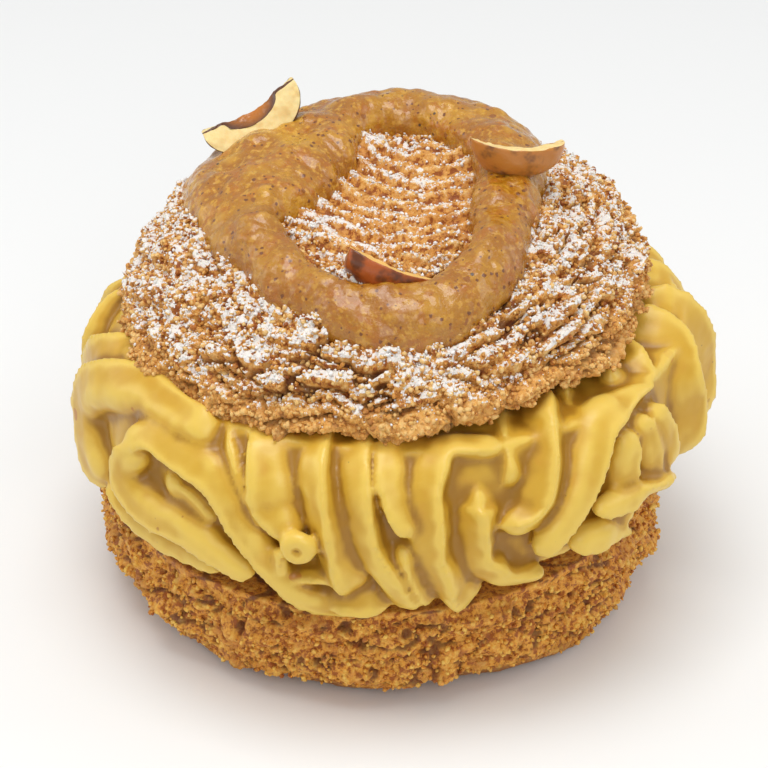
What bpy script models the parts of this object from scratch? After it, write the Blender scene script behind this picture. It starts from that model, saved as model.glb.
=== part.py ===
"""A Paris-Brest for one: two rough choux crusts with piped praline cream between them.

The cap carries a ring of thick praline sauce and three roasted hazelnut pieces.
Metres, +Z up. The origin is the centre of the flat foot, and the front is -Y.
A bearing is an angle round the pastry: 0 at the front, positive towards +X.
"""

import math

import bmesh
import bpy
import numpy as np
from mathutils import Matrix, Vector, noise

MM = 0.001
GAP = 0.3 * MM  # clear space between touching pieces

# Bottom crust
FOOT_RADIUS = 33.5 * MM
BASE_RADIUS = 40.8 * MM
BASE_WIDEST = 10.0 * MM  # height of the widest ring
BASE_TOP = 17.0 * MM
BASE_TOP_RADIUS = 39.5 * MM
BASE_SEGMENTS = 60

# Top crust, in its own frame: the cut face is at z = 0 and the dome rises from it
CAP_RADIUS = 38.0 * MM
CAP_HEIGHT = 17.5 * MM
CAP_ROUNDNESS = 2.2  # exponent of the dome's superellipse
CAP_SEAT = Vector((2.2, -1.0, 46.0)) * MM
CAP_TILT = math.radians(2.0)  # leans to the front
CAP_ROLL = math.radians(-4.0)  # leans to the left
CAP_SEGMENTS = 60
CAP_ROWS = 16
CENTRE = Vector((2.3, -3.0)) * MM  # middle of the sunken crown and of the praline ring
DIMPLE_RADIUS = 13.0 * MM
DIMPLE_DEPTH = 2.6 * MM

# Relief of the baked crusts
RIDGE_LENGTH = 9.0 * MM  # ridges run round the pastry
RIDGE_WIDTH = 3.2 * MM
RIDGE_HEIGHT = 1.8 * MM
LUMP_SIZE = 15.0 * MM
LUMP_HEIGHT = 1.2 * MM

# Praline ring: inner and outer radius in mm every 15 degrees of bearing from -180
RING_INNER = (19.8, 18.9, 12.8, 11.4, 10.4, 11.2, 13.0, 17.8, 17.8, 18.7, 20.9, 21.1,
              20.9, 18.9, 16.8, 13.8, 11.0, 10.0, 9.8, 10.5, 12.3, 13.8, 16.0, 18.2)
RING_OUTER = (30.0, 31.0, 33.0, 35.0, 36.0, 33.0, 29.5, 26.8, 25.5, 26.1, 26.6, 28.6,
              28.6, 27.2, 24.7, 22.6, 20.0, 19.4, 19.5, 21.0, 24.0, 27.5, 29.0, 30.0)
RING_FRONT_HEIGHT = 3.4 * MM
RING_BACK_HEIGHT = 5.0 * MM
RING_SINK = 1.5 * MM  # how far its underside reaches below the crust before it is cut clear
RING_SEGMENTS = 48

# Cream: a round-sided mound, whose folds stand out of a core
CREAM_CENTRE = Vector((1.7, 0.0)) * MM
CREAM_MIDDLE = 31.0 * MM  # height of its widest ring
CREAM_HEART = 36.0 * MM  # radius of the circle that its rounded side is drawn about
CREAM_BULGE = 11.5 * MM
CREAM_RISE = 15.0 * MM  # from its widest ring up to its top, and down to its bottom
CREAM_RIGHT = 2.8 * MM  # how much higher its top is on the right
CREAM_FULLNESS = 2.5  # exponent of its superellipse
# How far its side stands out of the round, in mm, every 30 degrees of bearing from -180
CREAM_REACH = (-3.5, -3.5, -3.8, -2.0, 0.4, 0.0, 0.0, 0.0, 0.0, -0.4, -3.6, -3.8)
MOUND_LIMIT = 0.97  # share of the rise past which a fold carries on inwards
FOLD_DEPTH = 5.5 * MM  # from the crests down to the core
CORE_TUCK = 9.0  # how strongly the core's lower end is drawn in, out of sight below the folds
CREAM_VOXEL = 1.0 * MM
CREAM_KEPT = 0.059  # share of the fused faces that is kept

# Front folds: half-widths in mm; depth of the crest below the mound's surface in mm; whether the
# first end is pointed; leans of the crest in degrees, positive to the right of the way it runs;
# and (bearing in degrees, height in mm) of points along it. Half-widths and leans are spaced
# evenly along the fold, and a height above the mound's top carries on inwards under the cap
FRONT_FOLDS = (
    ((2.8,), 0.4, False, (-30,), ((-86, 30), (-82, 38), (-73, 44.5), (-64, 47.5), (-56, 48.5))),
    ((3.4, 3.4, 3.0, 2.6, 2.2), -0.8, False, (-40,),
     ((-64, 23), (-71, 28), (-74, 33), (-70, 39), (-62, 43.5), (-55, 45), (-48, 45), (-34, 44.5))),
    ((2.5, 2.2, 1.4, 0.9), 1.5, False, (0,), ((-40, 53), (-38, 49), (-30.5, 44), (-24.5, 36.5), (-21.5, 33))),
    ((1.2, 2.0, 2.4, 2.6, 1.6), 0.0, False, (-40,),
     ((-24, 24), (-30.5, 26), (-38, 28.5), (-46, 28.5), (-51.5, 30), (-53, 33), (-51, 36), (-48, 37.5))),
    ((1.6, 2.6, 2.4, 1.9, 1.6, 2.2), 0.0, False, (40,),
     ((-53, 37), (-50, 40), (-46, 41.5), (-38, 40.5), (-31, 38.5), (-25, 32), (-19.5, 26), (-14, 20), (-5, 18.5))),
    ((1.8,), 2.2, False, (-40,), ((-45, 34.5), (-41, 33), (-37.5, 32), (-33, 29))),
    ((1.6,), 1.4, False, (0,), ((-64, 25), (-60, 21.5), (-54, 20), (-46, 19.5), (-38, 20.5), (-31, 22))),
    ((2.8, 2.8, 3.0, 3.0, 1.5), 0.0, False, (40,),
     ((-28, 53), (-24, 47.5), (-21, 41), (-20, 37), (-18.5, 34.5), (-16, 32))),
    ((1.2,), 1.2, False, (-10,), ((-18.5, 24.5), (-15, 25), (-11.5, 25.5), (-8.5, 25.5))),
    ((0.8,), 0.4, False, (0,), ((-18.5, 31), (-18.5, 28.5), (-18, 26))),
    ((2.6, 2.5, 2.4, 2.7, 3.0), 0.0, False, (-40, -25, -10, 5, 20),
     ((-15.5, 53), (-15, 48.5), (-13.5, 43.5), (-12, 39.5), (-9.5, 31.5), (-6, 22))),
    ((2.0, 2.3, 2.6, 2.2), -0.2, False, (-10,), ((-12, 19), (-7, 20), (-3, 19.5), (1, 19.5))),
    ((2.3, 2.3, 2.0, 1.6, 1.9), 0.4, False, (-28,),
     ((-7.5, 52), (-6, 42.5), (-5, 37.5), (-4, 33), (-2.5, 30), (0, 26.5), (3, 20.5), (4.5, 18.5))),
    ((1.9, 2.0, 1.7, 1.0), 0.3, False, (40,), ((3, 52), (2, 48.5), (0.5, 44), (1, 40), (2, 37), (3.5, 34))),
    ((2.3, 1.8, 1.5), 1.0, False, (0,), ((2, 32), (3, 29), (4, 26), (7.5, 19))),
    ((1.5, 2.4, 2.9, 2.7, 3.2), 0.0, False, (-45, -35, -25, -15, 10),
     ((21.5, 45.5), (17.5, 46), (10.5, 46), (7.5, 44), (6, 40.5), (6.5, 36), (7, 32), (8, 28.5), (12.5, 20))),
    ((2.0, 2.6, 2.4), 0.2, False, (20,), ((9, 25), (12.5, 21), (15.5, 19), (17, 18))),
    ((3.2, 4.0, 3.1, 1.9, 1.0), 0.8, False, (10, 5, -15, -30, -40),
     ((17, 43.5), (16.5, 38.5), (15.5, 33), (16, 28), (18.5, 25.5), (22, 23), (29, 22.5))),
    ((2.3, 2.0, 1.6), 1.8, False, (10,), ((28, 53), (23.5, 46.5), (22.5, 42), (21, 39.5))),
    ((2.9, 2.9, 2.7, 2.9, 1.4), 0.0, False, (-10, -5, 0, 15),
     ((38, 53), (32, 47), (30, 44), (28.5, 39.5), (27, 36), (24, 34), (19.5, 33.5))),
    ((3.4,), 1.4, False, (0,), ((46, 54), (41, 50), (38, 46))),
    ((1.0, 2.5, 2.7, 2.1, 1.4), -0.6, True, (-40,),
     ((58.5, 44.5), (53, 45.5), (48, 45.5), (42.5, 45), (39, 43), (36.5, 39.5), (32.5, 34), (25.5, 28))),
    ((1.2, 1.9, 2.1, 2.4, 2.7), 0.4, False, (-40,), ((47.5, 42), (46, 35.5), (45, 32.5), (44.5, 29.5), (42.5, 25.5))),
    ((1.4, 1.6, 1.9), 0.6, False, (-40,), ((51, 43), (51.5, 40.5), (52.5, 37.5), (53.5, 30))),
    ((1.5, 1.8, 1.6), 0.2, False, (-40,), ((55, 43), (57, 38.5), (58.5, 35), (59, 30))),
    ((2.6,), 1.6, False, (0,), ((55, 41), (56, 35), (53, 28))),
    ((1.1,), -0.4, True, (20,), ((62, 28.5), (55, 30), (47, 32))),
    ((0.9, 1.6, 1.8, 1.5, 1.0), -0.6, True, (-40,), ((55, 30), (48.5, 31.5), (44.5, 31.5), (36.5, 32.5))),
    ((0.8, 1.5, 1.9, 1.9, 1.5), -0.6, True, (-40,), ((48.5, 24), (44.5, 25.5), (40, 27), (32.5, 27.5))),
    ((2.2, 2.1, 1.6), 1.2, False, (25,), ((64, 55), (61.5, 52), (55.5, 49.5), (51.5, 47.5))),
    ((1.8, 2.2, 2.6), 0.8, False, (-15,), ((66, 54), (62, 49), (59, 46))),
    ((3.6,), -0.2, False, (-10,), ((74, 54), (74, 47), (70.5, 41), (71.5, 34), (69, 26))),
    ((4.0,), -0.7, False, (-10,), ((80, 53), (84, 44), (87, 35), (86, 29), (83, 23))),
)
CURL = (-15.0, 32.0, 1.5 * MM, 0.9 * MM)  # bearing, height, and the curled tip's two radii

# The rest of the ring is one long star-piped wave: where it starts and ends, and its legs
WAVE_START, WAVE_END = 96.0, 278.0
WAVE_LEGS = 13
WAVE_SWING = 8.5  # mm up and down from the middle
WAVE_RADIUS = 7.2 * MM
STAR_TEETH = 8
STAR_GROOVE = 0.30  # groove depth as a share of the stroke's radius

# Hazelnut pieces: name; length, breadth and depth in mm; the share of a full turn about its
# length that each piece keeps, in degrees; the hollow's length and radius in mm; the middle of
# its broken edge in mm; the direction of its length and the way its pale face looks
NUTS = (
    ("hazelnut_left", (15.4, 6.3, 5.0), 105, (8.6, 2.6), (-18.6, 15.6, 67.6), (0.86, 0.27, 0.44), (0, -0.85, 0.53)),
    ("hazelnut_right", (13.2, 4.2, 4.7), 180, (8.0, 1.9), (19.6, -1.2, 70.4), (1.0, 0.1, -0.1), (0.05, 0.27, 0.96)),
    ("hazelnut_front", (12.4, 3.6, 4.4), 115, (7.0, 1.2), (2.4, -22.4, 62.8), (0.96, -0.14, -0.23), (0.2, 0.36, 0.91)),
)


def clear_scene():
    for obj in list(bpy.data.objects):
        bpy.data.objects.remove(obj, do_unlink=True)


def material(name, colour, roughness):
    """A plain Principled material of one linear colour."""
    made = bpy.data.materials.new(name)
    made.use_nodes = True
    shader = made.node_tree.nodes["Principled BSDF"]
    shader.inputs["Base Color"].default_value = (*colour, 1.0)
    shader.inputs["Roughness"].default_value = roughness
    shader.inputs["Metallic"].default_value = 0.0
    return made


def link(obj):
    bpy.context.scene.collection.objects.link(obj)
    return obj


def mesh_object(name, points, faces, finish=None):
    mesh = bpy.data.meshes.new(name)
    mesh.from_pydata([tuple(p) for p in points], [], [tuple(f) for f in faces])
    mesh.shade_smooth()
    if finish:
        mesh.materials.append(finish)
    return link(bpy.data.objects.new(name, mesh))


def cutter_of(obj, gap=GAP):
    """A hidden copy of obj, grown by the gap on every side."""
    cutter = link(obj.copy())
    cutter.name = obj.name + "_cutter"
    cutter.hide_render = True
    cutter.display_type = "WIRE"
    grow = cutter.modifiers.new("gap", "DISPLACE")
    grow.strength = gap
    grow.mid_level = 0.0
    return cutter


def cut(obj, cutter, solver="EXACT"):
    away = obj.modifiers.new("clear_of_" + cutter.name, "BOOLEAN")
    away.operation = "DIFFERENCE"
    away.solver = solver
    away.object = cutter


def stacked_rings(rings):
    """A closed skin through rings of points, low to high, with a pole at each end."""
    count = len(rings[0])
    points = [p for ring in rings for p in ring]
    faces = []
    for level in range(len(rings) - 1):
        low, high = level * count, (level + 1) * count
        for i in range(count):
            j = (i + 1) % count
            faces += [(low + i, low + j, high + j), (low + i, high + j, high + i)]
    for start, flip in ((0, True), ((len(rings) - 1) * count, False)):
        pole = len(points)
        points.append(np.mean(points[start:start + count], axis=0))
        for i in range(count):
            a, b = start + i, start + (i + 1) % count
            faces.append((b, a, pole) if flip else (a, b, pole))
    return points, faces


def hoop_skin(rows):
    """A closed skin of hoops, the last one joined back to the first."""
    count = len(rows[0])
    points = [p for row in rows for p in row]
    faces = []
    for level in range(len(rows)):
        here, there = level * count, ((level + 1) % len(rows)) * count
        for i in range(count):
            j = (i + 1) % count
            faces += [(here + i, there + i, there + j), (here + i, there + j, here + j)]
    return points, faces


def bearings(count):
    return np.linspace(0.0, 2.0 * math.pi, count, endpoint=False)


def around(bearing, radius):
    """The x and y of a point at that bearing and radius."""
    return radius * np.sin(bearing), -radius * np.cos(bearing)


def crust_relief(bearing, along, seed):
    """How far a baked skin stands out: long ridges that run round it, over broad lumps.

    along is the distance up the skin from its lower edge.
    """
    x, y = around(bearing, CAP_RADIUS)
    ridge = noise.noise(Vector((x / RIDGE_LENGTH, y / RIDGE_LENGTH, along / RIDGE_WIDTH + seed)))
    lump = noise.noise(Vector((x / LUMP_SIZE, y / LUMP_SIZE, along / LUMP_SIZE - seed)))
    return RIDGE_HEIGHT * ridge + LUMP_HEIGHT * lump


def crust_ring(count, radius, height, outward, along, seed):
    """One ring of a crust's skin, pushed along its outward (radial, up) direction by the relief."""
    ring = []
    fade = min(1.0, radius / (18.0 * MM))
    for bearing in bearings(count):
        push = fade * crust_relief(bearing, along, seed) if outward else 0.0
        radial, up = outward or (0.0, 0.0)
        x, y = around(bearing, radius + push * radial)
        ring.append((x, y, height + push * up))
    return ring


# ---------------------------------------------------------------- crusts


def base_rings():
    """Rings of the bottom crust from its flat foot, out to its widest and in to its cut top."""
    rings = [crust_ring(BASE_SEGMENTS, share * FOOT_RADIUS, 0.0, None, 0.0, 0.0) for share in (0.55, 1.0)]
    rise = 6
    for k in range(1, rise + 1):
        height = BASE_WIDEST * (k / rise) ** 1.5
        radius = FOOT_RADIUS + (BASE_RADIUS - FOOT_RADIUS) * math.sqrt(1.0 - (1.0 - height / BASE_WIDEST) ** 2)
        lean = 1.0 - k / rise
        rings.append(crust_ring(BASE_SEGMENTS, radius, height, (1.0, -0.3 * lean), height, 3.0))
    for share in (0.35, 0.65, 0.9):
        height = BASE_WIDEST + share * (BASE_TOP - BASE_WIDEST)
        radius = BASE_RADIUS + (BASE_TOP_RADIUS - BASE_RADIUS) * share ** 2
        rings.append(crust_ring(BASE_SEGMENTS, radius, height, (1.0, 0.0), height, 3.0))
    rings += [crust_ring(BASE_SEGMENTS, share * BASE_TOP_RADIUS, BASE_TOP, None, 0.0, 0.0) for share in (0.95, 0.5)]
    return rings


def dome_height(radius):
    share = np.clip(np.abs(radius) / CAP_RADIUS, 0.0, 1.0)
    return CAP_HEIGHT * (1.0 - share ** CAP_ROUNDNESS) ** (1.0 / CAP_ROUNDNESS)


def crown(x, y):
    """Drop of the sunken crown, where the piped choux ring closed up in curved ridges."""
    away = math.hypot(x - CENTRE.x, y - CENTRE.y) / DIMPLE_RADIUS
    side = 1.0 if x > CENTRE.x else -1.0
    ridges = 0.35 * MM * math.sin(math.hypot(x - CENTRE.x - side * 14 * MM, y - CENTRE.y - 16 * MM) / (0.62 * MM))
    return (DIMPLE_DEPTH + ridges) * math.exp(-(away ** 3))


def cap_meridian():
    """(radius, height, outward direction, distance from the rim) up the dome."""
    fine = np.radians(np.linspace(4.0, 88.0, 400))
    radius = CAP_RADIUS * np.cos(fine) ** (2.0 / CAP_ROUNDNESS)
    height = CAP_HEIGHT * np.sin(fine) ** (2.0 / CAP_ROUNDNESS)
    along = np.concatenate([[0.0], np.cumsum(np.hypot(np.diff(radius), np.diff(height)))])
    for distance in np.linspace(0.0, along[-1], CAP_ROWS):
        r, h = np.interp(distance, along, radius), np.interp(distance, along, height)
        slope = np.interp(distance + 0.1 * MM, along, height) - np.interp(distance - 0.1 * MM, along, height)
        run = np.interp(distance - 0.1 * MM, along, radius) - np.interp(distance + 0.1 * MM, along, radius)
        yield r, h, Vector((slope, run)).normalized(), distance


def cap_rings():
    """Rings of the top crust from its cut face over the rim to the crown."""
    rings = [crust_ring(CAP_SEGMENTS, share * CAP_RADIUS, 0.0, None, 0.0, 0.0) for share in (0.5, 0.93)]
    for radius, height, outward, along in cap_meridian():
        ring = crust_ring(CAP_SEGMENTS, radius, height, tuple(outward), along, 7.0)
        rings.append([(x, y, z - crown(x, y)) for x, y, z in ring])
    return rings


# ---------------------------------------------------------------- praline ring


def periodic(values, turn):
    """A smooth closed curve through values spaced evenly from a bearing of -180 degrees."""
    count = len(values)
    place = (turn + math.pi) / (2.0 * math.pi) * count
    low = math.floor(place)
    t = place - low
    p0, p1, p2, p3 = (values[(low + k) % count] for k in (-1, 0, 1, 2))
    return p1 + 0.5 * t * (p2 - p0 + t * (2 * p0 - 5 * p1 + 4 * p2 - p3 + t * (3 * (p1 - p2) + p3 - p0)))


def praline_hoops():
    """Hoops of the sauce: over its rounded top from inside to outside, and back below the crust."""
    hoops = []
    for share, lift in ((0.0, 0.25), (0.05, 0.60), (0.2, 0.90), (0.5, 1.0), (0.8, 0.90), (0.95, 0.60), (1.0, 0.25),
                        (0.97, 0.0), (0.03, 0.0)):
        hoop = []
        for turn in bearings(RING_SEGMENTS):
            inner, outer = periodic(RING_INNER, turn), periodic(RING_OUTER, turn)
            x, y = around(turn, (inner + (outer - inner) * share) * MM)
            x, y = x + CENTRE.x, y + CENTRE.y
            swell = 1.0 + 0.35 * noise.noise(Vector((x, y, 0.0)) / (9.0 * MM))
            floor = dome_height(math.hypot(x, y)) - crown(x, y) - RING_SINK
            backward = 0.5 - 0.5 * math.cos(turn)
            height = RING_FRONT_HEIGHT + (RING_BACK_HEIGHT - RING_FRONT_HEIGHT) * backward
            top = lift * (height * swell + RING_SINK)
            hoop.append((x, y, floor + top))
        hoops.append(hoop)
    return hoops


# ---------------------------------------------------------------- cream


def smooth_path(points, step):
    """Catmull-Rom curve through the points, sampled about every step."""
    points = np.asarray(points, float)
    ends = np.vstack([2 * points[0] - points[1], points, 2 * points[-1] - points[-2]])
    samples = []
    for i in range(len(points) - 1):
        p0, p1, p2, p3 = ends[i:i + 4]
        count = max(2, int(round(np.linalg.norm(p2 - p1) / step)))
        t = np.linspace(0.0, 1.0, count, endpoint=False)[:, None]
        samples.append(0.5 * (2 * p1 + t * (p2 - p0) + t ** 2 * (2 * p0 - 5 * p1 + 4 * p2 - p3)
                              + t ** 3 * (3 * p1 - p0 - 3 * p2 + p3)))
    return np.vstack(samples + [points[-1:]])


def mound(rise):
    """The mound's bulge and outward direction, as (share, Vector), at a height from -1 to 1."""
    bulge = (1.0 - abs(rise) ** CREAM_FULLNESS) ** (1.0 / CREAM_FULLNESS)
    slope = math.copysign(abs(rise) ** (CREAM_FULLNESS - 1.0), rise)
    return bulge, Vector((bulge ** (CREAM_FULLNESS - 1.0) / CREAM_BULGE, slope / CREAM_RISE)).normalized()


def below_surface(bearing_deg, height_mm, depth):
    """The point at that depth below the mound's surface, and the surface's outward direction."""
    bearing = math.radians(bearing_deg)
    height = height_mm * MM - CREAM_MIDDLE
    reach = CREAM_RISE
    if height > 0.0:
        reach += CREAM_RIGHT * max(0.0, math.sin(bearing))
    rise = min(max(height / reach, -MOUND_LIMIT), MOUND_LIMIT)
    over = max(0.0, height - MOUND_LIMIT * reach)
    bulge, normal = mound(rise)
    stands_out = periodic(CREAM_REACH, math.remainder(bearing, 2.0 * math.pi)) * MM
    radius = CREAM_HEART + stands_out + CREAM_BULGE * bulge - depth * normal.x - over
    x, y = around(bearing, radius)
    point = (x + CREAM_CENTRE.x, y + CREAM_CENTRE.y, CREAM_MIDDLE + reach * rise - depth * normal.y)
    return point, (*around(bearing, normal.x), normal.y)


def teardrop(angle, radius):
    """Section of a soft fold: round, with one crest that stands out at angle 0."""
    crest = 1.5  # how far the crest stands out, in radii
    shoulder = math.acos(1.0 / crest)
    off = np.abs((angle + math.pi) % (2.0 * math.pi) - math.pi)
    return np.where(off < shoulder, radius / np.cos(shoulder - np.minimum(off, shoulder)), radius)


def star(angle, radius):
    """Section of a star nozzle's stroke: a crest at each tooth and a round groove between."""
    groove = np.abs(np.sin(0.5 * STAR_TEETH * angle)) ** 0.8
    return radius * (1.0 - STAR_GROOVE * groove)


def rounded(share):
    """A quarter circle's rise from 0 to 1."""
    return np.sqrt(1.0 - (1.0 - share) ** 2)


def swept(section, radii, rooted, sink, pointed, leans, places, step=1.2, sides=28):
    """A stroke with that section along (bearing, height) places, with a rounded or pointed start.

    Its middle lies the sink and rooted radii below the mound's surface.
    """
    per_degree = math.radians(CREAM_HEART + CREAM_BULGE) / MM
    track = smooth_path([(b * per_degree, h) for b, h in places], step)
    share = np.linspace(0.0, 1.0, len(track))
    radius = np.interp(share, np.linspace(0.0, 1.0, len(radii)), radii)
    lean = np.radians(np.interp(share, np.linspace(0.0, 1.0, len(leans)), leans))
    spots = [below_surface(b / per_degree, h, sink + rooted * r) for (b, h), r in zip(track, radius)]
    centre, outward = (np.array(v) for v in zip(*spots))
    length = np.concatenate([[0.0], np.cumsum(np.linalg.norm(np.diff(centre, axis=0), axis=1))])
    start = np.clip(length / ((3.5 if pointed else 1.2) * radius), 0.02, 1.0)
    end = np.clip((length[-1] - length) / (1.2 * radius), 0.02, 1.0)
    taper = (start if pointed else rounded(start)) * rounded(end)
    tangent = np.gradient(centre, axis=0)
    tangent /= np.linalg.norm(tangent, axis=1)[:, None]
    outward -= (outward * tangent).sum(1)[:, None] * tangent
    outward /= np.linalg.norm(outward, axis=1)[:, None]
    sideways = np.cross(tangent, outward)
    angle = bearings(sides)
    rings = []
    for k in range(len(centre)):
        reach = section(angle, radius[k] * taper[k])[:, None]
        turned = (angle + lean[k])[:, None]
        rings.append(centre[k] + reach * (np.cos(turned) * outward[k] + np.sin(turned) * sideways[k]))
    return stacked_rings(rings)


def front_fold(half_widths, sink, pointed, leans, places):
    radii = [half_width * MM for half_width in half_widths]
    return swept(teardrop, radii, 1.45, sink * MM, pointed, leans, places)


def curled_tip():
    """The small curl that the nozzle left on a front fold."""
    bearing, height, coil, thickness = CURL
    middle, normal = (Vector(v) for v in below_surface(bearing, height, 0.6 * thickness))
    across = normal.cross(Vector((0.0, 0.0, 1.0))).normalized()
    rings = []
    for turn in np.radians(np.linspace(-30.0, 330.0, 24)):
        arm = math.cos(turn) * across + math.sin(turn) * normal.cross(across)
        hub = middle + coil * arm
        rings.append([tuple(hub + thickness * (math.cos(a) * arm + math.sin(a) * normal)) for a in bearings(10)])
    return stacked_rings(rings)


def piped_wave():
    """The star-piped wave up and down round the back, leaning now one way and now the other."""
    places = []
    steps = WAVE_LEGS * 4
    for k in range(steps + 1):
        leg = k / 4.0
        bearing = WAVE_START + (WAVE_END - WAVE_START) * leg / WAVE_LEGS
        bearing += 4.5 * math.sin(math.pi * leg * 2.0) + 3.0 * math.sin(0.9 * leg)
        swing = WAVE_SWING * (1.0 - 0.15 * math.sin(2.3 * leg))
        places.append((bearing, CREAM_MIDDLE / MM - swing * math.cos(math.pi * leg)))
    return swept(star, (WAVE_RADIUS,), 1.0, 0.0, False, (0, 60), places, sides=40)


def cream_core():
    """The filling inside the folds, from the bottom crust to the cap."""
    rings = []
    for rise in np.linspace(-0.95, 0.97, 9):
        bulge = mound(rise)[0]
        height = (CREAM_MIDDLE + CREAM_RISE * rise) / MM
        inset = FOLD_DEPTH * (bulge + CORE_TUCK * max(0.0, -rise - 0.5) ** 2)
        ring = [below_surface(math.degrees(turn), height, inset)[0] for turn in bearings(48)]
        rings.append(ring)
    return stacked_rings(rings)


def joined(shapes):
    points, faces = [], []
    for shape_points, shape_faces in shapes:
        start = len(points)
        points += list(shape_points)
        faces += [tuple(start + i for i in face) for face in shape_faces]
    return points, faces


def keep_largest_shell(mesh):
    """Removes all but the largest connected shell of a mesh."""
    shape = bmesh.new()
    shape.from_mesh(mesh)
    left, shells = set(shape.faces), []
    while left:
        todo = [left.pop()]
        shell = list(todo)
        while todo:
            for edge in todo.pop().edges:
                for face in edge.link_faces:
                    if face in left:
                        left.remove(face)
                        todo.append(face)
                        shell.append(face)
        shells.append(shell)
    shells.sort(key=len)
    for shell in shells[:-1]:
        bmesh.ops.delete(shape, geom=shell, context="FACES")
    shape.to_mesh(mesh)
    shape.free()


def fused_cream(finish, cutters):
    """All strokes and the core fused into one skin, thinned out and cut clear of the crusts."""
    shapes = [cream_core(), curled_tip(), piped_wave()] + [front_fold(*fold) for fold in FRONT_FOLDS]
    raw = mesh_object("cream_strokes", *joined(shapes))
    remesh = raw.modifiers.new("fuse", "REMESH")
    remesh.mode = "VOXEL"
    remesh.voxel_size = CREAM_VOXEL
    thin = raw.modifiers.new("thin", "DECIMATE")
    thin.ratio = CREAM_KEPT
    for cutter in cutters:
        cut(raw, cutter)
    mesh = bpy.data.meshes.new_from_object(raw.evaluated_get(bpy.context.evaluated_depsgraph_get()))
    bpy.data.objects.remove(raw, do_unlink=True)
    keep_largest_shell(mesh)
    mesh.materials.clear()
    mesh.materials.append(finish)
    mesh.shade_smooth()
    return link(bpy.data.objects.new("praline_cream", mesh))


# ---------------------------------------------------------------- hazelnuts


def kernel_piece(name, size, kept, hollow, finish, columns=9, arc=6):
    """Part of a kernel's turn about its length (x), with the hollow along its broken edge.

    Its pale face lies in the x-y plane and looks down -z, and its skin is the round side.
    """
    length, breadth, depth = (v * MM for v in size)
    hollow_length, hollow_radius = (v * MM for v in hollow)
    sweep = np.radians(np.linspace(0.0, kept, arc))
    rings = []
    for t in np.linspace(0.10, 0.90, columns) * math.pi:
        x = -0.5 * length * math.cos(t)
        thick = math.sin(t) ** 0.85
        scoop = math.sqrt(max(0.0, 1.0 - (2.0 * x / hollow_length) ** 2))
        inner = max(hollow_radius * scoop, 0.3 * MM * thick)
        skin = [(x, breadth * thick * math.cos(a), depth * thick * math.sin(a)) for a in sweep]
        bowl = [(x, inner * math.cos(a), inner * math.sin(a)) for a in sweep[::-1]]
        rings.append(skin + bowl)
    return mesh_object(name, *stacked_rings(rings), finish)


def turned_to(along, face):
    """Rotation that lays x along the first direction and turns -z to face the second."""
    x = Vector(along).normalized()
    z = -(Vector(face) - Vector(face).dot(x) * x).normalized()
    return Matrix((x, z.cross(x), z)).transposed()


# ---------------------------------------------------------------- assembly


def build():
    clear_scene()
    crust = material("choux_crust", (0.42, 0.20, 0.066), 0.85)
    cream_finish = material("praline_cream", (0.60, 0.38, 0.085), 0.42)
    sauce = material("praline_sauce", (0.47, 0.21, 0.045), 0.18)
    kernel = material("hazelnut_kernel", (0.76, 0.52, 0.22), 0.55)

    base = mesh_object("bottom_crust", *stacked_rings(base_rings()), crust)
    seat = link(bpy.data.objects.new("cap_seat", None))
    seat.location = CAP_SEAT
    seat.rotation_euler = (CAP_TILT, CAP_ROLL, 0.0)
    cap = mesh_object("top_crust", *stacked_rings(cap_rings()), crust)
    ring = mesh_object("praline_ring", *hoop_skin(praline_hoops()), sauce)
    cap.parent = seat
    ring.parent = seat
    cap_cutter = cutter_of(cap)
    cut(ring, cap_cutter)

    fused_cream(cream_finish, (cutter_of(base), cap_cutter))

    for name, size, kept, hollow, place, along, face in NUTS:
        nut = kernel_piece(name, size, kept, hollow, kernel)
        nut.location = Vector(place) * MM
        nut.rotation_euler = turned_to(along, face).to_euler()
        cut(ring, cutter_of(nut), "MANIFOLD")
        cut(nut, cap_cutter)


build()
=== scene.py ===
"""Looks of a Paris-Brest for one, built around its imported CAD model.

Metres, +Z up, the front is -Y. A bearing is an angle round the pastry: 0 at the front, positive
towards +X.
"""

import itertools
import math

import bmesh
import bpy
import numpy as np
from mathutils import Matrix, Vector, noise


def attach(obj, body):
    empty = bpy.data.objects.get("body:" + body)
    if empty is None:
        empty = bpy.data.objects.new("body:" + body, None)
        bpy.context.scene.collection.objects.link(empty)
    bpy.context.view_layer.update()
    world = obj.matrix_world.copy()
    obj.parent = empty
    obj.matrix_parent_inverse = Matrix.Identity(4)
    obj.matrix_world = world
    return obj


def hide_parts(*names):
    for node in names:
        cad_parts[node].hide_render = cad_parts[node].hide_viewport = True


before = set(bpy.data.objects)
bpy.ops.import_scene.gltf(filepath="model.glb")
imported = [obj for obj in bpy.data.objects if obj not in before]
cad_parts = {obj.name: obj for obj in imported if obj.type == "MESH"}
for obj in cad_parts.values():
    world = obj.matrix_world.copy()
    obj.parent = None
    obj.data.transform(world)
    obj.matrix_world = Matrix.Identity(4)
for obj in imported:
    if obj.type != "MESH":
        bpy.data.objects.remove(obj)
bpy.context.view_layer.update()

MM = 0.001

# Bottom crust
FOOT_RADIUS = 33.5 * MM
BASE_RADIUS = 40.8 * MM
BASE_WIDEST = 10.0 * MM
BASE_TOP = 17.0 * MM
BASE_TOP_RADIUS = 39.5 * MM

# Top crust, in its own frame: the cut face is at z = 0 and the dome rises from it
CAP_RADIUS = 38.0 * MM
CAP_HEIGHT = 17.5 * MM
CAP_ROUNDNESS = 2.2
CAP_SEAT = Vector((1.2, -1.0, 46.0)) * MM
CAP_TURN = (math.radians(2.0), math.radians(-4.0), 0.0)
CENTRE = np.array((3.3, -3.0)) * MM
DIMPLE_RADIUS = 13.0 * MM
DIMPLE_DEPTH = 2.6 * MM

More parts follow.
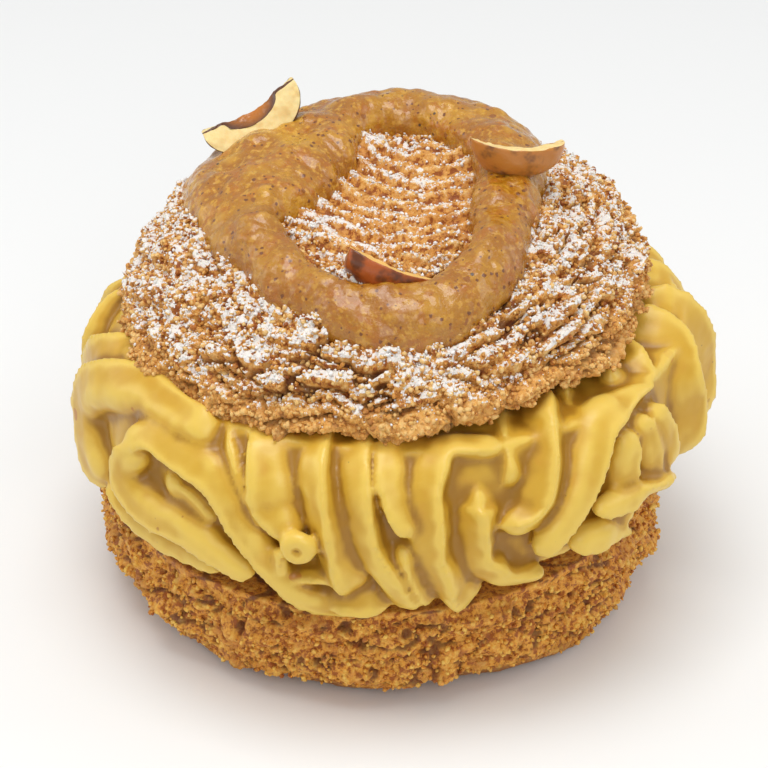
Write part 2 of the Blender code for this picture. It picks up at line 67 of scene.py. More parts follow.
# Relief of the baked crusts
RIDGE_LENGTH = 9.0 * MM
RIDGE_WIDTH = 3.2 * MM
RIDGE_HEIGHT = 1.8 * MM
LUMP_SIZE = 15.0 * MM
LUMP_HEIGHT = 1.2 * MM

# Praline ring: inner and outer radius in mm every 15 degrees of bearing from -180
RING_INNER = (19.8, 18.9, 12.8, 11.4, 10.4, 11.2, 13.0, 17.8, 17.8, 18.7, 20.9, 21.1,
              20.9, 18.9, 16.8, 13.8, 11.0, 10.0, 9.8, 10.5, 12.3, 13.8, 16.0, 18.2)
RING_OUTER = (30.0, 31.0, 33.0, 35.0, 36.0, 33.0, 29.5, 26.8, 25.5, 26.1, 26.6, 28.6,
              28.6, 27.2, 24.7, 22.6, 20.0, 19.4, 19.5, 21.0, 24.0, 27.5, 29.0, 30.0)
RING_HEIGHT = (3.4, 5.0)  # mm, at the front and at the back
RING_SINK = 1.5 * MM

# Cream
CREAM_CENTRE = np.array((1.7, 0.0)) * MM
CREAM_MIDDLE = 31.0 * MM
CREAM_HEART = 36.0 * MM
CREAM_BULGE = 11.5 * MM
CREAM_RISE = 15.0 * MM
CREAM_RIGHT = 2.8 * MM
CREAM_FULLNESS = 2.5
# How far the cream's side stands out or in, in mm, every 30 degrees of bearing from -180
CREAM_REACH = (-3.5, -3.5, -3.8, -2.0, 0.4, 0.0, 0.0, 0.0, 0.0, -0.4, -3.6, -3.8)
MOUND_LIMIT = 0.97
FOLD_DEPTH = 4.3 * MM
CORE_TUCK = 9.0
FOLD_SPREAD = 1.14  # how much wider a fold is than its shown half, to run into the next one
CREAM_VOXEL = 0.55 * MM
FRONT_FOLDS = (
    ((2.8,), 0.4, False, (-30,), ((-86, 30), (-82, 38), (-73, 44.5), (-64, 47.5), (-56, 48.5))),
    ((3.4, 3.4, 3.0, 2.6, 2.2), -0.8, False, (-40,),
     ((-64, 23), (-71, 28), (-74, 33), (-70, 39), (-62, 43.5), (-55, 45), (-48, 45), (-34, 44.5))),
    ((2.5, 2.2, 1.4, 0.9), 1.5, False, (0,), ((-40, 53), (-38, 49), (-30.5, 44), (-24.5, 36.5), (-21.5, 33))),
    ((1.2, 2.0, 2.4, 2.6, 1.6), 0.0, False, (-40,),
     ((-24, 24), (-30.5, 26), (-38, 28.5), (-46, 28.5), (-51.5, 30), (-53, 33), (-51, 36), (-48, 37.5))),
    ((1.6, 2.6, 2.4, 1.9, 1.6, 2.2), 0.0, False, (40,),
     ((-53, 37), (-50, 40), (-46, 41.5), (-38, 40.5), (-31, 38.5), (-25, 32), (-19.5, 26), (-14, 20), (-5, 18.5))),
    ((1.8,), 2.2, False, (-40,), ((-45, 34.5), (-41, 33), (-37.5, 32), (-33, 29))),
    ((1.6,), 1.4, False, (0,), ((-64, 25), (-60, 21.5), (-54, 20), (-46, 19.5), (-38, 20.5), (-31, 22))),
    ((2.8, 2.8, 3.0, 3.0, 1.5), 0.0, False, (40,),
     ((-28, 53), (-24, 47.5), (-21, 41), (-20, 37), (-18.5, 34.5), (-16, 32))),
    ((1.2,), 1.2, False, (-10,), ((-18.5, 24.5), (-15, 25), (-11.5, 25.5), (-8.5, 25.5))),
    ((0.8,), 0.4, False, (0,), ((-18.5, 31), (-18.5, 28.5), (-18, 26))),
    ((2.6, 2.5, 2.4, 2.7, 3.0), 0.0, False, (-40, -25, -10, 5, 20),
     ((-15.5, 53), (-15, 48.5), (-13.5, 43.5), (-12, 39.5), (-9.5, 31.5), (-6, 22))),
    ((2.0, 2.3, 2.6, 2.2), -0.2, False, (-10,), ((-12, 19), (-7, 20), (-3, 19.5), (1, 19.5))),
    ((2.3, 2.3, 2.0, 1.6, 1.9), 0.4, False, (-28,),
     ((-7.5, 52), (-6, 42.5), (-5, 37.5), (-4, 33), (-2.5, 30), (0, 26.5), (3, 20.5), (4.5, 18.5))),
    ((1.9, 2.0, 1.7, 1.0), 0.3, False, (40,), ((3, 52), (2, 48.5), (0.5, 44), (1, 40), (2, 37), (3.5, 34))),
    ((2.3, 1.8, 1.5), 1.0, False, (0,), ((2, 32), (3, 29), (4, 26), (7.5, 19))),
    ((1.5, 2.4, 2.9, 2.7, 3.2), 0.0, False, (-45, -35, -25, -15, 10),
     ((21.5, 45.5), (17.5, 46), (10.5, 46), (7.5, 44), (6, 40.5), (6.5, 36), (7, 32), (8, 28.5), (12.5, 20))),
    ((2.0, 2.6, 2.4), 0.2, False, (20,), ((9, 25), (12.5, 21), (15.5, 19), (17, 18))),
    ((3.2, 4.0, 3.1, 1.9, 1.0), 0.8, False, (10, 5, -15, -30, -40),
     ((17, 43.5), (16.5, 38.5), (15.5, 33), (16, 28), (18.5, 25.5), (22, 23), (29, 22.5))),
    ((2.3, 2.0, 1.6), 1.8, False, (10,), ((28, 53), (23.5, 46.5), (22.5, 42), (21, 39.5))),
    ((2.9, 2.9, 2.7, 2.9, 1.4), 0.0, False, (-10, -5, 0, 15),
     ((38, 53), (32, 47), (30, 44), (28.5, 39.5), (27, 36), (24, 34), (19.5, 33.5))),
    ((3.4,), 1.4, False, (0,), ((46, 54), (41, 50), (38, 46))),
    ((1.0, 2.5, 2.7, 2.1, 1.4), -0.6, True, (-40,),
     ((58.5, 44.5), (53, 45.5), (48, 45.5), (42.5, 45), (39, 43), (36.5, 39.5), (32.5, 34), (25.5, 28))),
    ((1.2, 1.9, 2.1, 2.4, 2.7), 0.4, False, (-40,), ((47.5, 42), (46, 35.5), (45, 32.5), (44.5, 29.5), (42.5, 25.5))),
    ((1.4, 1.6, 1.9), 0.6, False, (-40,), ((51, 43), (51.5, 40.5), (52.5, 37.5), (53.5, 30))),
    ((1.5, 1.8, 1.6), 0.2, False, (-40,), ((55, 43), (57, 38.5), (58.5, 35), (59, 30))),
    ((2.6,), 1.6, False, (0,), ((55, 41), (56, 35), (53, 28))),
    ((1.1,), -0.4, True, (20,), ((62, 28.5), (55, 30), (47, 32))),
    ((0.9, 1.6, 1.8, 1.5, 1.0), -0.6, True, (-40,), ((55, 30), (48.5, 31.5), (44.5, 31.5), (36.5, 32.5))),
    ((0.8, 1.5, 1.9, 1.9, 1.5), -0.6, True, (-40,), ((48.5, 24), (44.5, 25.5), (40, 27), (32.5, 27.5))),
    ((2.2, 2.1, 1.6), 1.2, False, (25,), ((64, 55), (61.5, 52), (55.5, 49.5), (51.5, 47.5))),
    ((1.8, 2.2, 2.6), 0.8, False, (-15,), ((66, 54), (62, 49), (59, 46))),
    ((3.6,), -0.2, False, (-10,), ((74, 54), (74, 47), (70.5, 41), (71.5, 34), (69, 26))),
    ((4.0,), -0.7, False, (-10,), ((80, 53), (84, 44), (87, 35), (86, 29), (83, 23))),
)
CURL = (-15.0, 32.0, 1.45 * MM, 1.05 * MM)

# Hazelnut pieces: length, breadth, depth (mm); degrees of the turn kept; hollow's length and radius
# (mm); middle of the broken edge (mm); direction of the length; the way the pale face looks
NUTS = {
    "hazelnut_left": ((15.4, 6.3, 5.0), 105, (8.6, 2.6), (-18.6, 13.2, 68.4), (0.86, 0.27, 0.44), (0, -0.85, 0.53),
                      0.30, 0.75),
    "hazelnut_right": ((13.2, 4.2, 4.7), 180, (8.0, 1.9), (19.6, -1.2, 70.4), (1.0, 0.1, -0.1), (0.05, 0.27, 0.96),
                       0.30, 0.65),
    "hazelnut_front": ((12.0, 3.6, 4.4), 115, (7.0, 1.2), (2.0, -22.4, 62.8), (0.91, -0.14, -0.34), (0.2, 0.36, 0.91),
                       0.15, 0.30),
}


# ---------------------------------------------------------------- noise


def hashed(cells, seed):
    """A repeatable number from 0 to 1 for each whole-numbered cell."""
    x, y, z = (cells[..., k].astype(np.int64).astype(np.uint32) for k in range(3))
    h = x * np.uint32(374761393) + y * np.uint32(668265263) + z * np.uint32(2246822519)
    h = h + np.uint32((seed * 3266489917) % 4294967296)
    h = (h ^ (h >> np.uint32(13))) * np.uint32(1274126177)
    h = (h ^ (h >> np.uint32(16))) * np.uint32(2654435761)
    return (h ^ (h >> np.uint32(15))) / 4294967295.0


def soft_noise(points, seed=0):
    """Smooth gradient noise from about -1 to 1."""
    base = np.floor(points)
    part = points - base
    ease = part * part * part * (part * (part * 6.0 - 15.0) + 10.0)
    total = np.zeros(len(points))
    for corner in itertools.product((0, 1), repeat=3):
        corner = np.array(corner)
        cell = base + corner
        slope = np.stack([hashed(cell, seed * 3 + k) for k in range(3)], axis=1) * 2.0 - 1.0
        weight = np.prod(np.where(corner == 1, ease, 1.0 - ease), axis=1)
        total += weight * (slope * (part - corner)).sum(axis=1)
    return total * 1.6


def rough_noise(points, octaves, seed=0, gain=0.5):
    total, size, share = 0.0, 1.0, 1.0
    for octave in range(octaves):
        total = total + share * soft_noise(points * size, seed + octave)
        size *= 2.03
        share *= gain
    return total


def cells_near(points, seed=0):
    """Distance to the nearest and the second nearest scattered point, and the nearest one's number."""
    base = np.floor(points)
    first = np.full(len(points), 9.0)
    second = first.copy()
    owner = np.zeros(len(points))
    for shift in itertools.product((-1, 0, 1), repeat=3):
        cell = base + np.array(shift)
        spot = cell + np.stack([hashed(cell, seed * 5 + k) for k in range(3)], axis=1)
        away = np.linalg.norm(points - spot, axis=1)
        nearer = away < first
        second = np.where(nearer, first, np.minimum(second, away))
        owner = np.where(nearer, hashed(cell, seed * 5 + 3), owner)
        first = np.minimum(first, away)
    return first, second, owner


def step(value, low, high):
    """Smooth rise from 0 to 1 between low and high."""
    t = np.clip((value - low) / (high - low), 0.0, 1.0)
    return t * t * (3.0 - 2.0 * t)


# ---------------------------------------------------------------- meshes


def mesh_piece(name, points, faces, smooth=True):
    mesh = bpy.data.meshes.new(name)
    points = np.asarray(points, np.float32)
    faces = [tuple(f) for f in faces] if not isinstance(faces, np.ndarray) else faces.tolist()
    mesh.from_pydata(points.tolist(), [], faces)
    if smooth:
        mesh.shade_smooth()
    obj = bpy.data.objects.new(name, mesh)
    bpy.context.scene.collection.objects.link(obj)
    return obj


def coordinates(mesh):
    out = np.empty(len(mesh.vertices) * 3, np.float32)
    mesh.vertices.foreach_get("co", out)
    return out.reshape(-1, 3).astype(float)


def normals(mesh):
    out = np.empty(len(mesh.vertices) * 3, np.float32)
    mesh.vertices.foreach_get("normal", out)
    return out.reshape(-1, 3).astype(float)


def move_to(mesh, points):
    mesh.vertices.foreach_set("co", np.asarray(points, np.float32).ravel())
    mesh.update()


def paint(mesh, name, values):
    """Stores one number for each vertex, for a material to read."""
    layer = mesh.attributes.new(name, "FLOAT", "POINT")
    layer.data.foreach_set("value", np.asarray(values, np.float32))


def applied(obj):
    """Replaces obj's mesh by what its modifiers make of it."""
    mesh = bpy.data.meshes.new_from_object(obj.evaluated_get(bpy.context.evaluated_depsgraph_get()))
    old = obj.data
    obj.modifiers.clear()
    obj.data = mesh
    mesh.name = obj.name
    bpy.data.meshes.remove(old)
    return obj


def hollowness(mesh, reach):
    """How deep each vertex lies in a groove (positive) or stands on a crest, in mm, over that reach."""
    points = coordinates(mesh)
    edges = np.empty(len(mesh.edges) * 2, np.int32)
    mesh.edges.foreach_get("vertices", edges)
    a, b = edges.reshape(-1, 2).T
    spacing = np.linalg.norm(points[a] - points[b], axis=1).mean()
    share = 1.0 / np.maximum(np.bincount(a, minlength=len(points)) + np.bincount(b, minlength=len(points)), 1)
    soft = points.copy()
    for _ in range(max(1, int(2.0 * (reach / spacing) ** 2))):
        total = np.stack([np.bincount(a, soft[b, k], len(points)) + np.bincount(b, soft[a, k], len(points))
                          for k in range(3)], axis=1)
        soft = 0.35 * soft + 0.65 * total * share[:, None]
    return ((soft - points) * normals(mesh)).sum(axis=1) / MM


def around(bearing, radius):
    return radius * np.sin(bearing), -radius * np.cos(bearing)


def bearings(count):
    return np.linspace(0.0, 2.0 * math.pi, count, endpoint=False)


def stacked_rings(rings):
    """A closed skin through rings of points, low to high, with a pole at each end."""
    count = len(rings[0])
    points = [p for ring in rings for p in ring]
    faces = []
    for level in range(len(rings) - 1):
        low, high = level * count, (level + 1) * count
        for i in range(count):
            j = (i + 1) % count
            faces += [(low + i, low + j, high + j, high + i)]
    for start, flip in ((0, True), ((len(rings) - 1) * count, False)):
        pole = len(points)
        points.append(np.mean(points[start:start + count], axis=0))
        for i in range(count):
            a, b = start + i, start + (i + 1) % count
            faces.append((b, a, pole) if flip else (a, b, pole))
    return points, faces


# ---------------------------------------------------------------- crusts


def broad_relief(x, y, along, seed):
    """The CAD crusts' own relief: long ridges round the pastry over broad lumps."""
    out = []
    for a, b, c in zip(x, y, along):
        ridge = noise.noise(Vector((a / RIDGE_LENGTH, b / RIDGE_LENGTH, c / RIDGE_WIDTH + seed)))
        lump = noise.noise(Vector((a / LUMP_SIZE, b / LUMP_SIZE, c / LUMP_SIZE - seed)))
        out.append(RIDGE_HEIGHT * ridge + LUMP_HEIGHT * lump)
    return np.array(out)


def disc_grid(count):
    """Points of an even grid on a disc of radius 1, and its faces: no pole, no thin slivers."""
    line = np.linspace(-1.0, 1.0, count)
    a, b = np.meshgrid(line, line)
    a, b = a.ravel(), b.ravel()
    wide = np.abs(a) > np.abs(b)
    radius = np.where(wide, a, b)
    inner = np.where(wide, b, a)
    safe = np.where(radius == 0.0, 1.0, radius)
    turn = (math.pi / 4.0) * inner / safe
    x = np.where(wide, radius * np.cos(turn), radius * np.sin(turn))
    y = np.where(wide, radius * np.sin(turn), radius * np.cos(turn))
    index = np.arange(count * count).reshape(count, count)
    faces = np.stack([index[:-1, :-1], index[:-1, 1:], index[1:, 1:], index[1:, :-1]], -1).reshape(-1, 4)
    edge = np.concatenate([index[0, :-1], index[:-1, -1], index[-1, :0:-1], index[:0:-1, 0]])
    return x, y, faces, edge


def dome_height(radius):
    share = np.clip(np.abs(radius) / CAP_RADIUS, 0.0, 1.0)
    return CAP_HEIGHT * (1.0 - share ** CAP_ROUNDNESS) ** (1.0 / CAP_ROUNDNESS)


def crown_drop(x, y):
    return DIMPLE_DEPTH * np.exp(-(np.hypot(x - CENTRE[0], y - CENTRE[1]) / DIMPLE_RADIUS) ** 3)


def cap_profile():
    """(radius, height) from the crown over the rim to the cut face below, and each one's distance."""
    turn = np.radians(np.linspace(90.0, 4.0, 400))
    radius = CAP_RADIUS * np.clip(np.cos(turn), 0, 1) ** (2.0 / CAP_ROUNDNESS)
    height = CAP_HEIGHT * np.sin(turn) ** (2.0 / CAP_ROUNDNESS)
    under = np.linspace(radius[-1], 30.0 * MM, 40)[1:]
    radius = np.concatenate([radius, under])
    height = np.concatenate([height, np.full(len(under), 0.0)])
    height[395:405] = np.linspace(height[395], 0.0, 10)
    distance = np.concatenate([[0.0], np.cumsum(np.hypot(np.diff(radius), np.diff(height)))])
    return radius, height, distance


def cap_points(u, v):
    """Points, outward directions and distance up from the rim for places on the unit disc."""
    radius, height, distance = cap_profile()
    share = np.clip(np.hypot(u, v), 0.0, 1.0)
    along = share * distance[-1]
    r, h = np.interp(along, distance, radius), np.interp(along, distance, height)
    reach = 0.6 * MM
    dr = np.interp(along + reach, distance, radius) - np.interp(along - reach, distance, radius)
    dh = np.interp(along + reach, distance, height) - np.interp(along - reach, distance, height)
    length = np.maximum(np.hypot(dr, dh), 1e-9)
    safe = np.maximum(np.hypot(u, v), 1e-9)
    cu, cv = u / safe, v / safe
    points = np.stack([r * cu, r * cv, h], axis=1)
    outward = np.stack([-dh / length * cu, -dh / length * cv, dr / length], axis=1)
    rim = distance[399]
    return points, outward, rim - along


def crumbly(points, seed):
    """Fine relief of craquelin, in mm: angular crumbs of three sizes with creases between them."""
    relief = np.zeros(len(points))
    for size, height, k in ((2.7, 0.62, 1), (1.5, 0.55, 2), (0.95, 0.34, 3)):
        wander = 0.30 * size * MM * np.stack([soft_noise(points / (0.8 * size * MM), seed + 40 + j) for j in range(3)], 1)
        first, second, owner = cells_near((points + wander) / (size * MM), seed + k)
        crumb = np.clip(2.6 * (second - first), 0.0, 1.0) ** 0.6 * (1.05 - 0.55 * first)
        relief += height * (0.35 + 1.1 * owner) * (crumb - 0.55)
    return relief


def crown_ridges(x, y):
    """The two families of curved piped ridges on the sunken crown: height in mm, and where they are."""
    x, y = (x - CENTRE[0]) / MM, (y - CENTRE[1]) / MM
    wander = 0.9 * soft_noise(np.stack([x / 6.0, y / 6.0, 0.0 * x], 1), 61)
    back = np.hypot(x - 5.5, y - 20.0) + wander
    front = np.hypot(x + 10.5, y + 20.0) + wander
    near_front = step(front, 13.0, 11.5)
    phase = np.where(near_front > 0.5, front / 2.3, back / 2.9)
    saw = phase - np.floor(phase)
    ridge = np.where(saw < 0.75, saw / 0.75, (1.0 - saw) / 0.25)
    inside = step(np.hypot(x, y), 19.0, 14.0)
    return (ridge - 0.5) * 1.4 * inside, inside


def make_cap():
    count = 300
    u, v, faces, edge = disc_grid(count)
    points, outward, along = cap_points(u, v)
    x, y = points[:, 0], points[:, 1]
    radius = np.hypot(x, y)
    bearing = np.arctan2(x, -y)
    rx, ry = around(bearing, CAP_RADIUS)
    crown = step(radius, 21.0 * MM, 15.0 * MM)
    broad = broad_relief(rx, ry, along, 7.0) * np.minimum(1.0, radius / (18.0 * MM))
    stretch = np.stack([x / (7.5 * MM), y / (7.5 * MM), along / (2.1 * MM)], 1)
    bend = 0.5 * soft_noise(points / (5.0 * MM), 11)
    band = soft_noise(stretch + bend[:, None], 12)
    layered = step(bearing, -1.1, -0.2) * step(along, 27.0 * MM, 18.0 * MM)
    crack = step(np.abs(band), 0.17, 0.03) * (0.35 + 0.65 * layered) * (1.0 - crown)
    crack *= step(soft_noise(points / (9.0 * MM), 13), -0.45, 0.15)
    layers = 1.5 * np.abs(band) ** 0.7 * (0.35 + 0.65 * layered)
    grains = crumbly(points, 20)
    ridges, inside = crown_ridges(x, y)
    rough = 1.0 - 0.80 * inside
    fine = grains * rough + (layers - 0.6 * layered) * (1.0 - crown) - 1.5 * crack + ridges
    ragged = step(along, 3.0 * MM, 0.0) * step(along, -5.0 * MM, -1.0 * MM)
    fine += ragged * 0.9 * rough_noise(points / (2.2 * MM), 2, 31)
    under = step(along, -1.5 * MM, -3.5 * MM)
    points = points + outward * ((broad + fine * MM) * (1.0 - under))[:, None]
    points[:, 2] -= crown_drop(x, y) * (along > 0.0)
    hub = len(points)
    points = np.vstack([points, [[0.0, 0.0, 0.0]]])
    faces = faces.tolist() + [(int(b), int(a), hub) for a, b in zip(edge, np.roll(edge, -1))]
    turn = np.array(Matrix.Rotation(CAP_TURN[1], 3, "Y") @ Matrix.Rotation(CAP_TURN[0], 3, "X"))
    cap = mesh_piece("cap", points @ turn.T + np.array(CAP_SEAT), faces)
    facing = normals(cap.data)[:hub, 2]
    clump = rough_noise(points[:hub] / (5.5 * MM), 3, 33)
    sugar = step(facing, -0.10, 0.55) * step(along, 0.5 * MM, 6.0 * MM) * (0.92 - 0.16 * np.sin(bearing))
    sugar *= (1.0 - 0.8 * crack) * (1.0 + 0.45 * clump) * (1.0 - 0.42 * inside)
    sugar *= step(grains * rough + 0.4 * (layers - 0.6) + 0.9 * ridges, -0.75, 0.15)
    paint(cap.data, "sugar", np.append(sugar, 0.0))
    # Fissure depth: it keeps sugar out of the fissures and sets the painted shade in them
    paint(cap.data, "crack", np.append(crack, 0.0))
    paint(cap.data, "raised", np.append(grains * rough + 0.4 * layers * (1.0 - inside) + 0.7 * ridges, 0.0))
    paint(cap.data, "rim", np.append(step(along, 5.5 * MM, 1.0 * MM), 0.0))
    return cap


def base_profile():
    """(radius, height) up the bottom crust's side, from the foot's edge to the top's inner part."""
    height = BASE_WIDEST * np.linspace(0.0, 1.0, 120) ** 1.5
    radius = FOOT_RADIUS + (BASE_RADIUS - FOOT_RADIUS) * np.sqrt(1.0 - (1.0 - height / BASE_WIDEST) ** 2)
    share = np.linspace(0.0, 1.0, 80)[1:]
    height = np.concatenate([height, BASE_WIDEST + share * (BASE_TOP - BASE_WIDEST)])
    radius = np.concatenate([radius, BASE_RADIUS + (BASE_TOP_RADIUS - BASE_RADIUS) * share ** 2])
    inward = np.linspace(BASE_TOP_RADIUS, 30.0 * MM, 60)[1:]
    height = np.concatenate([height, np.full(len(inward), BASE_TOP)])
    radius = np.concatenate([radius, inward])
    distance = np.concatenate([[0.0], np.cumsum(np.hypot(np.diff(radius), np.diff(height)))])
    return radius, height, distance


def make_base():
    columns = 640
    radius, height, distance = base_profile()
    rows = int(distance[-1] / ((0.42 * MM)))
    places = np.linspace(0.0, distance[-1], rows)
    r, h = np.interp(places, distance, radius), np.interp(places, distance, height)
    reach = 0.6 * MM
    dr = np.interp(places + reach, distance, radius) - np.interp(places - reach, distance, radius)
    dh = np.interp(places + reach, distance, height) - np.interp(places - reach, distance, height)
    length = np.hypot(dr, dh)
    turn, level = np.meshgrid(bearings(columns), np.arange(rows))
    turn, level = turn.ravel(), level.ravel()
    x, y = around(turn, 1.0)
    tucked = 3.0 * MM * step(np.cos(turn + 0.75), 0.3, 1.0) * (1.0 - np.clip(h / BASE_WIDEST, 0, 1))[level] ** 1.5
    points = np.stack([x * (r[level] - tucked), y * (r[level] - tucked), h[level]], 1)
    out_r, out_z = (dh / length)[level], (-dr / length)[level]
    outward = np.stack([x * out_r, y * out_r, out_z], 1)
    rx, ry = around(turn, CAP_RADIUS)
    fade = step(places, 0.0, 1.5 * MM)[level] * step(BASE_TOP - h, 0.0, 2.0 * MM)[level]
    broad = broad_relief(rx, ry, h[level], 3.0)
    broad *= step(places, 0.0, 1.0 * MM)[level] * step(BASE_TOP - h, 0.0, 2.0 * MM)[level]
    grains = crumbly(points, 50)
    pores, _, owner = cells_near(points / (3.4 * MM), 57)
    pore = step(pores, 0.34, 0.16) * (owner > 0.45)
    smooth_foot = step(h[level], 1.0 * MM, 4.5 * MM)
    band = soft_noise(np.stack([points[:, 0] / (8 * MM), points[:, 1] / (8 * MM), h[level] / (2.4 * MM)], 1), 58)
    crack = step(np.abs(band), 0.12, 0.02) * smooth_foot
    fine = grains * (0.15 + 0.85 * smooth_foot) - 1.1 * pore * smooth_foot - 0.8 * crack
    fine += 0.5 * rough_noise(points / (3.0 * MM), 2, 59) * (0.2 + 0.8 * smooth_foot)
    points = points + outward * (broad + fine * MM * fade)[:, None]
    points[:, 2] = np.maximum(points[:, 2], 0.0)
    index = np.arange(rows * columns).reshape(rows, columns)
    across = np.roll(index, -1, axis=1)
    faces = np.stack([index[:-1], across[:-1], across[1:], index[1:]], -1).reshape(-1, 4).tolist()
    low, high = len(points), len(points) + 1
    points = np.vstack([points, [[0.0, 0.0, 0.0], [0.0, 0.0, BASE_TOP]]])
    for i in range(columns):
        j = (i + 1) % columns
        faces += [(j, i, low), (int(index[-1, i]), int(index[-1, j]), high)]
    base = mesh_piece("base", points, faces)
    # Fissures and pores, which get painted shade in the crust's colour
    paint(base.data, "crack", np.append(np.maximum(crack, pore * smooth_foot), (0.0, 0.0)))
    paint(base.data, "raised", np.append(grains, (0.0, 0.0)))
    paint(base.data, "foot", np.append(1.0 - smooth_foot, (1.0, 0.0)))
    return base


# ---------------------------------------------------------------- praline sauce


def periodic(values, turn):
    """A smooth closed curve through values spaced evenly from a bearing of -180 degrees."""
    values = np.asarray(values, float)
    count = len(values)
    place = (turn + math.pi) / (2.0 * math.pi) * count
    low = np.floor(place).astype(int)
    t = place - low
    p0, p1, p2, p3 = (values[(low + k) % count] for k in (-1, 0, 1, 2))
    return p1 + 0.5 * t * (p2 - p0 + t * (2 * p0 - 5 * p1 + 4 * p2 - p3 + t * (3 * (p1 - p2) + p3 - p0)))


def make_praline():
    columns, rows = ((600, 90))
    turn = bearings(columns) - math.pi
    loop = np.linspace(0.0, 1.0, rows, endpoint=False)
    over = loop < 0.72
    t = np.where(over, loop / 0.72, (1.0 - loop) / 0.28)
    share = np.where(over, 0.5 - 0.5 * np.cos(math.pi * t), t)
    lift = np.where(over, np.sin(math.pi * t) ** 0.55, 0.0)
    turn, row = np.meshgrid(turn, np.arange(rows))
    turn, row = turn.ravel(), row.ravel()
    edge = np.stack([np.sin(turn) * 5.0, np.cos(turn) * 5.0, 0.0 * turn], 1)
    inner = periodic(RING_INNER, turn) + 0.7 * soft_noise(edge, 71) + 0.3 * soft_noise(edge * 2.7, 72)
    outer = periodic(RING_OUTER, turn) + 0.8 * soft_noise(edge, 73) + 0.4 * soft_noise(edge * 2.7, 74)
    x, y = around(turn, (inner + (outer - inner) * share[row]) * MM)
    x, y = x + CENTRE[0], y + CENTRE[1]
    back = 0.5 - 0.5 * np.cos(turn)
    height = (RING_HEIGHT[0] + (RING_HEIGHT[1] - RING_HEIGHT[0]) * back) * MM
    flat = np.stack([x, y, 0.0 * x], 1)
    swell = 1.0 + 0.22 * soft_noise(flat / (9.0 * MM), 75) + 0.14 * soft_noise(flat / (4.0 * MM), 76)
    floor = dome_height(np.hypot(x, y)) - crown_drop(x, y) - RING_SINK
    z = floor + lift[row] * (height * swell + RING_SINK)
    points = np.stack([x, y, z], 1)
    index = np.arange(rows * columns).reshape(rows, columns)
    across, above = np.roll(index, -1, axis=1), np.roll(index, -1, axis=0)
    both = np.roll(above, -1, axis=1)
    faces = np.stack([index, across, both, above], -1).reshape(-1, 4)
    ring = mesh_piece("praline", points, faces[:, ::-1].copy())
    first, second, owner = cells_near(points / (2.6 * MM), 77)
    lump = np.clip(1.0 - first * 1.7, 0.0, 1.0) ** 0.6 * (owner > 0.55)
    small, _, owner_small = cells_near(points / (1.3 * MM), 78)
    grit = np.clip(1.0 - small * 2.0, 0.0, 1.0) ** 0.6 * (owner_small > 0.6)
    wet = (0.30 * lump + 0.07 * grit + 0.26 * rough_noise(points / (4.2 * MM), 3, 79)) * MM
    top = (lift[row] > 0.05)
    points = points + normals(ring.data) * (wet * lift[row] ** 0.5 * top)[:, None]
    turned = np.array(Matrix.Rotation(CAP_TURN[1], 3, "Y") @ Matrix.Rotation(CAP_TURN[0], 3, "X"))
    move_to(ring.data, points @ turned.T + np.array(CAP_SEAT))
    paint(ring.data, "lump", lump)
    # Painted shade: a mask that darkens the sauce where the ring is narrower than 15 mm, all round but its wide left
    # part
    paint(ring.data, "thin", step(outer - inner, 15.0, 8.0))
    return ring


# ---------------------------------------------------------------- cream


def smooth_path(points, spacing):
    points = np.asarray(points, float)
    ends = np.vstack([2 * points[0] - points[1], points, 2 * points[-1] - points[-2]])
    samples = []
    for i in range(len(points) - 1):
        p0, p1, p2, p3 = ends[i:i + 4]
        count = max(2, int(round(np.linalg.norm(p2 - p1) / spacing)))
        t = np.linspace(0.0, 1.0, count, endpoint=False)[:, None]
        samples.append(0.5 * (2 * p1 + t * (p2 - p0) + t ** 2 * (2 * p0 - 5 * p1 + 4 * p2 - p3)
                              + t ** 3 * (3 * p1 - p0 - 3 * p2 + p3)))
    return np.vstack(samples + [points[-1:]])


def mound(rise):
    bulge = (1.0 - abs(rise) ** CREAM_FULLNESS) ** (1.0 / CREAM_FULLNESS)
    slope = math.copysign(abs(rise) ** (CREAM_FULLNESS - 1.0), rise)
    return bulge, Vector((bulge ** (CREAM_FULLNESS - 1.0) / CREAM_BULGE, slope / CREAM_RISE)).normalized()


def stands_out(bearing):
    return float(periodic(CREAM_REACH, np.array([math.remainder(bearing, 2.0 * math.pi)]))[0]) * MM


def below_surface(bearing_deg, height_mm, depth):
    bearing = math.radians(bearing_deg)
    height = height_mm * MM - CREAM_MIDDLE
    reach = CREAM_RISE
    if height > 0.0:
        reach += CREAM_RIGHT * max(0.0, math.sin(bearing))
    rise = min(max(height / reach, -MOUND_LIMIT), MOUND_LIMIT)
    over = max(0.0, height - MOUND_LIMIT * reach)
    bulge, normal = mound(rise)
    radius = CREAM_HEART + CREAM_BULGE * bulge - depth * normal.x - over + stands_out(bearing)
    x, y = around(bearing, radius)
    point = (x + CREAM_CENTRE[0], y + CREAM_CENTRE[1], CREAM_MIDDLE + reach * rise - depth * normal.y)
    return point, (*around(bearing, normal.x), normal.y)


def teardrop(angle, radius):
    crest = 1.5
    shoulder = math.acos(1.0 / crest)
    off = np.abs((angle + math.pi) % (2.0 * math.pi) - math.pi)
    return np.where(off < shoulder, radius / np.cos(shoulder - np.minimum(off, shoulder)), radius)


def rounded(share):
    return np.sqrt(1.0 - (1.0 - share) ** 2)


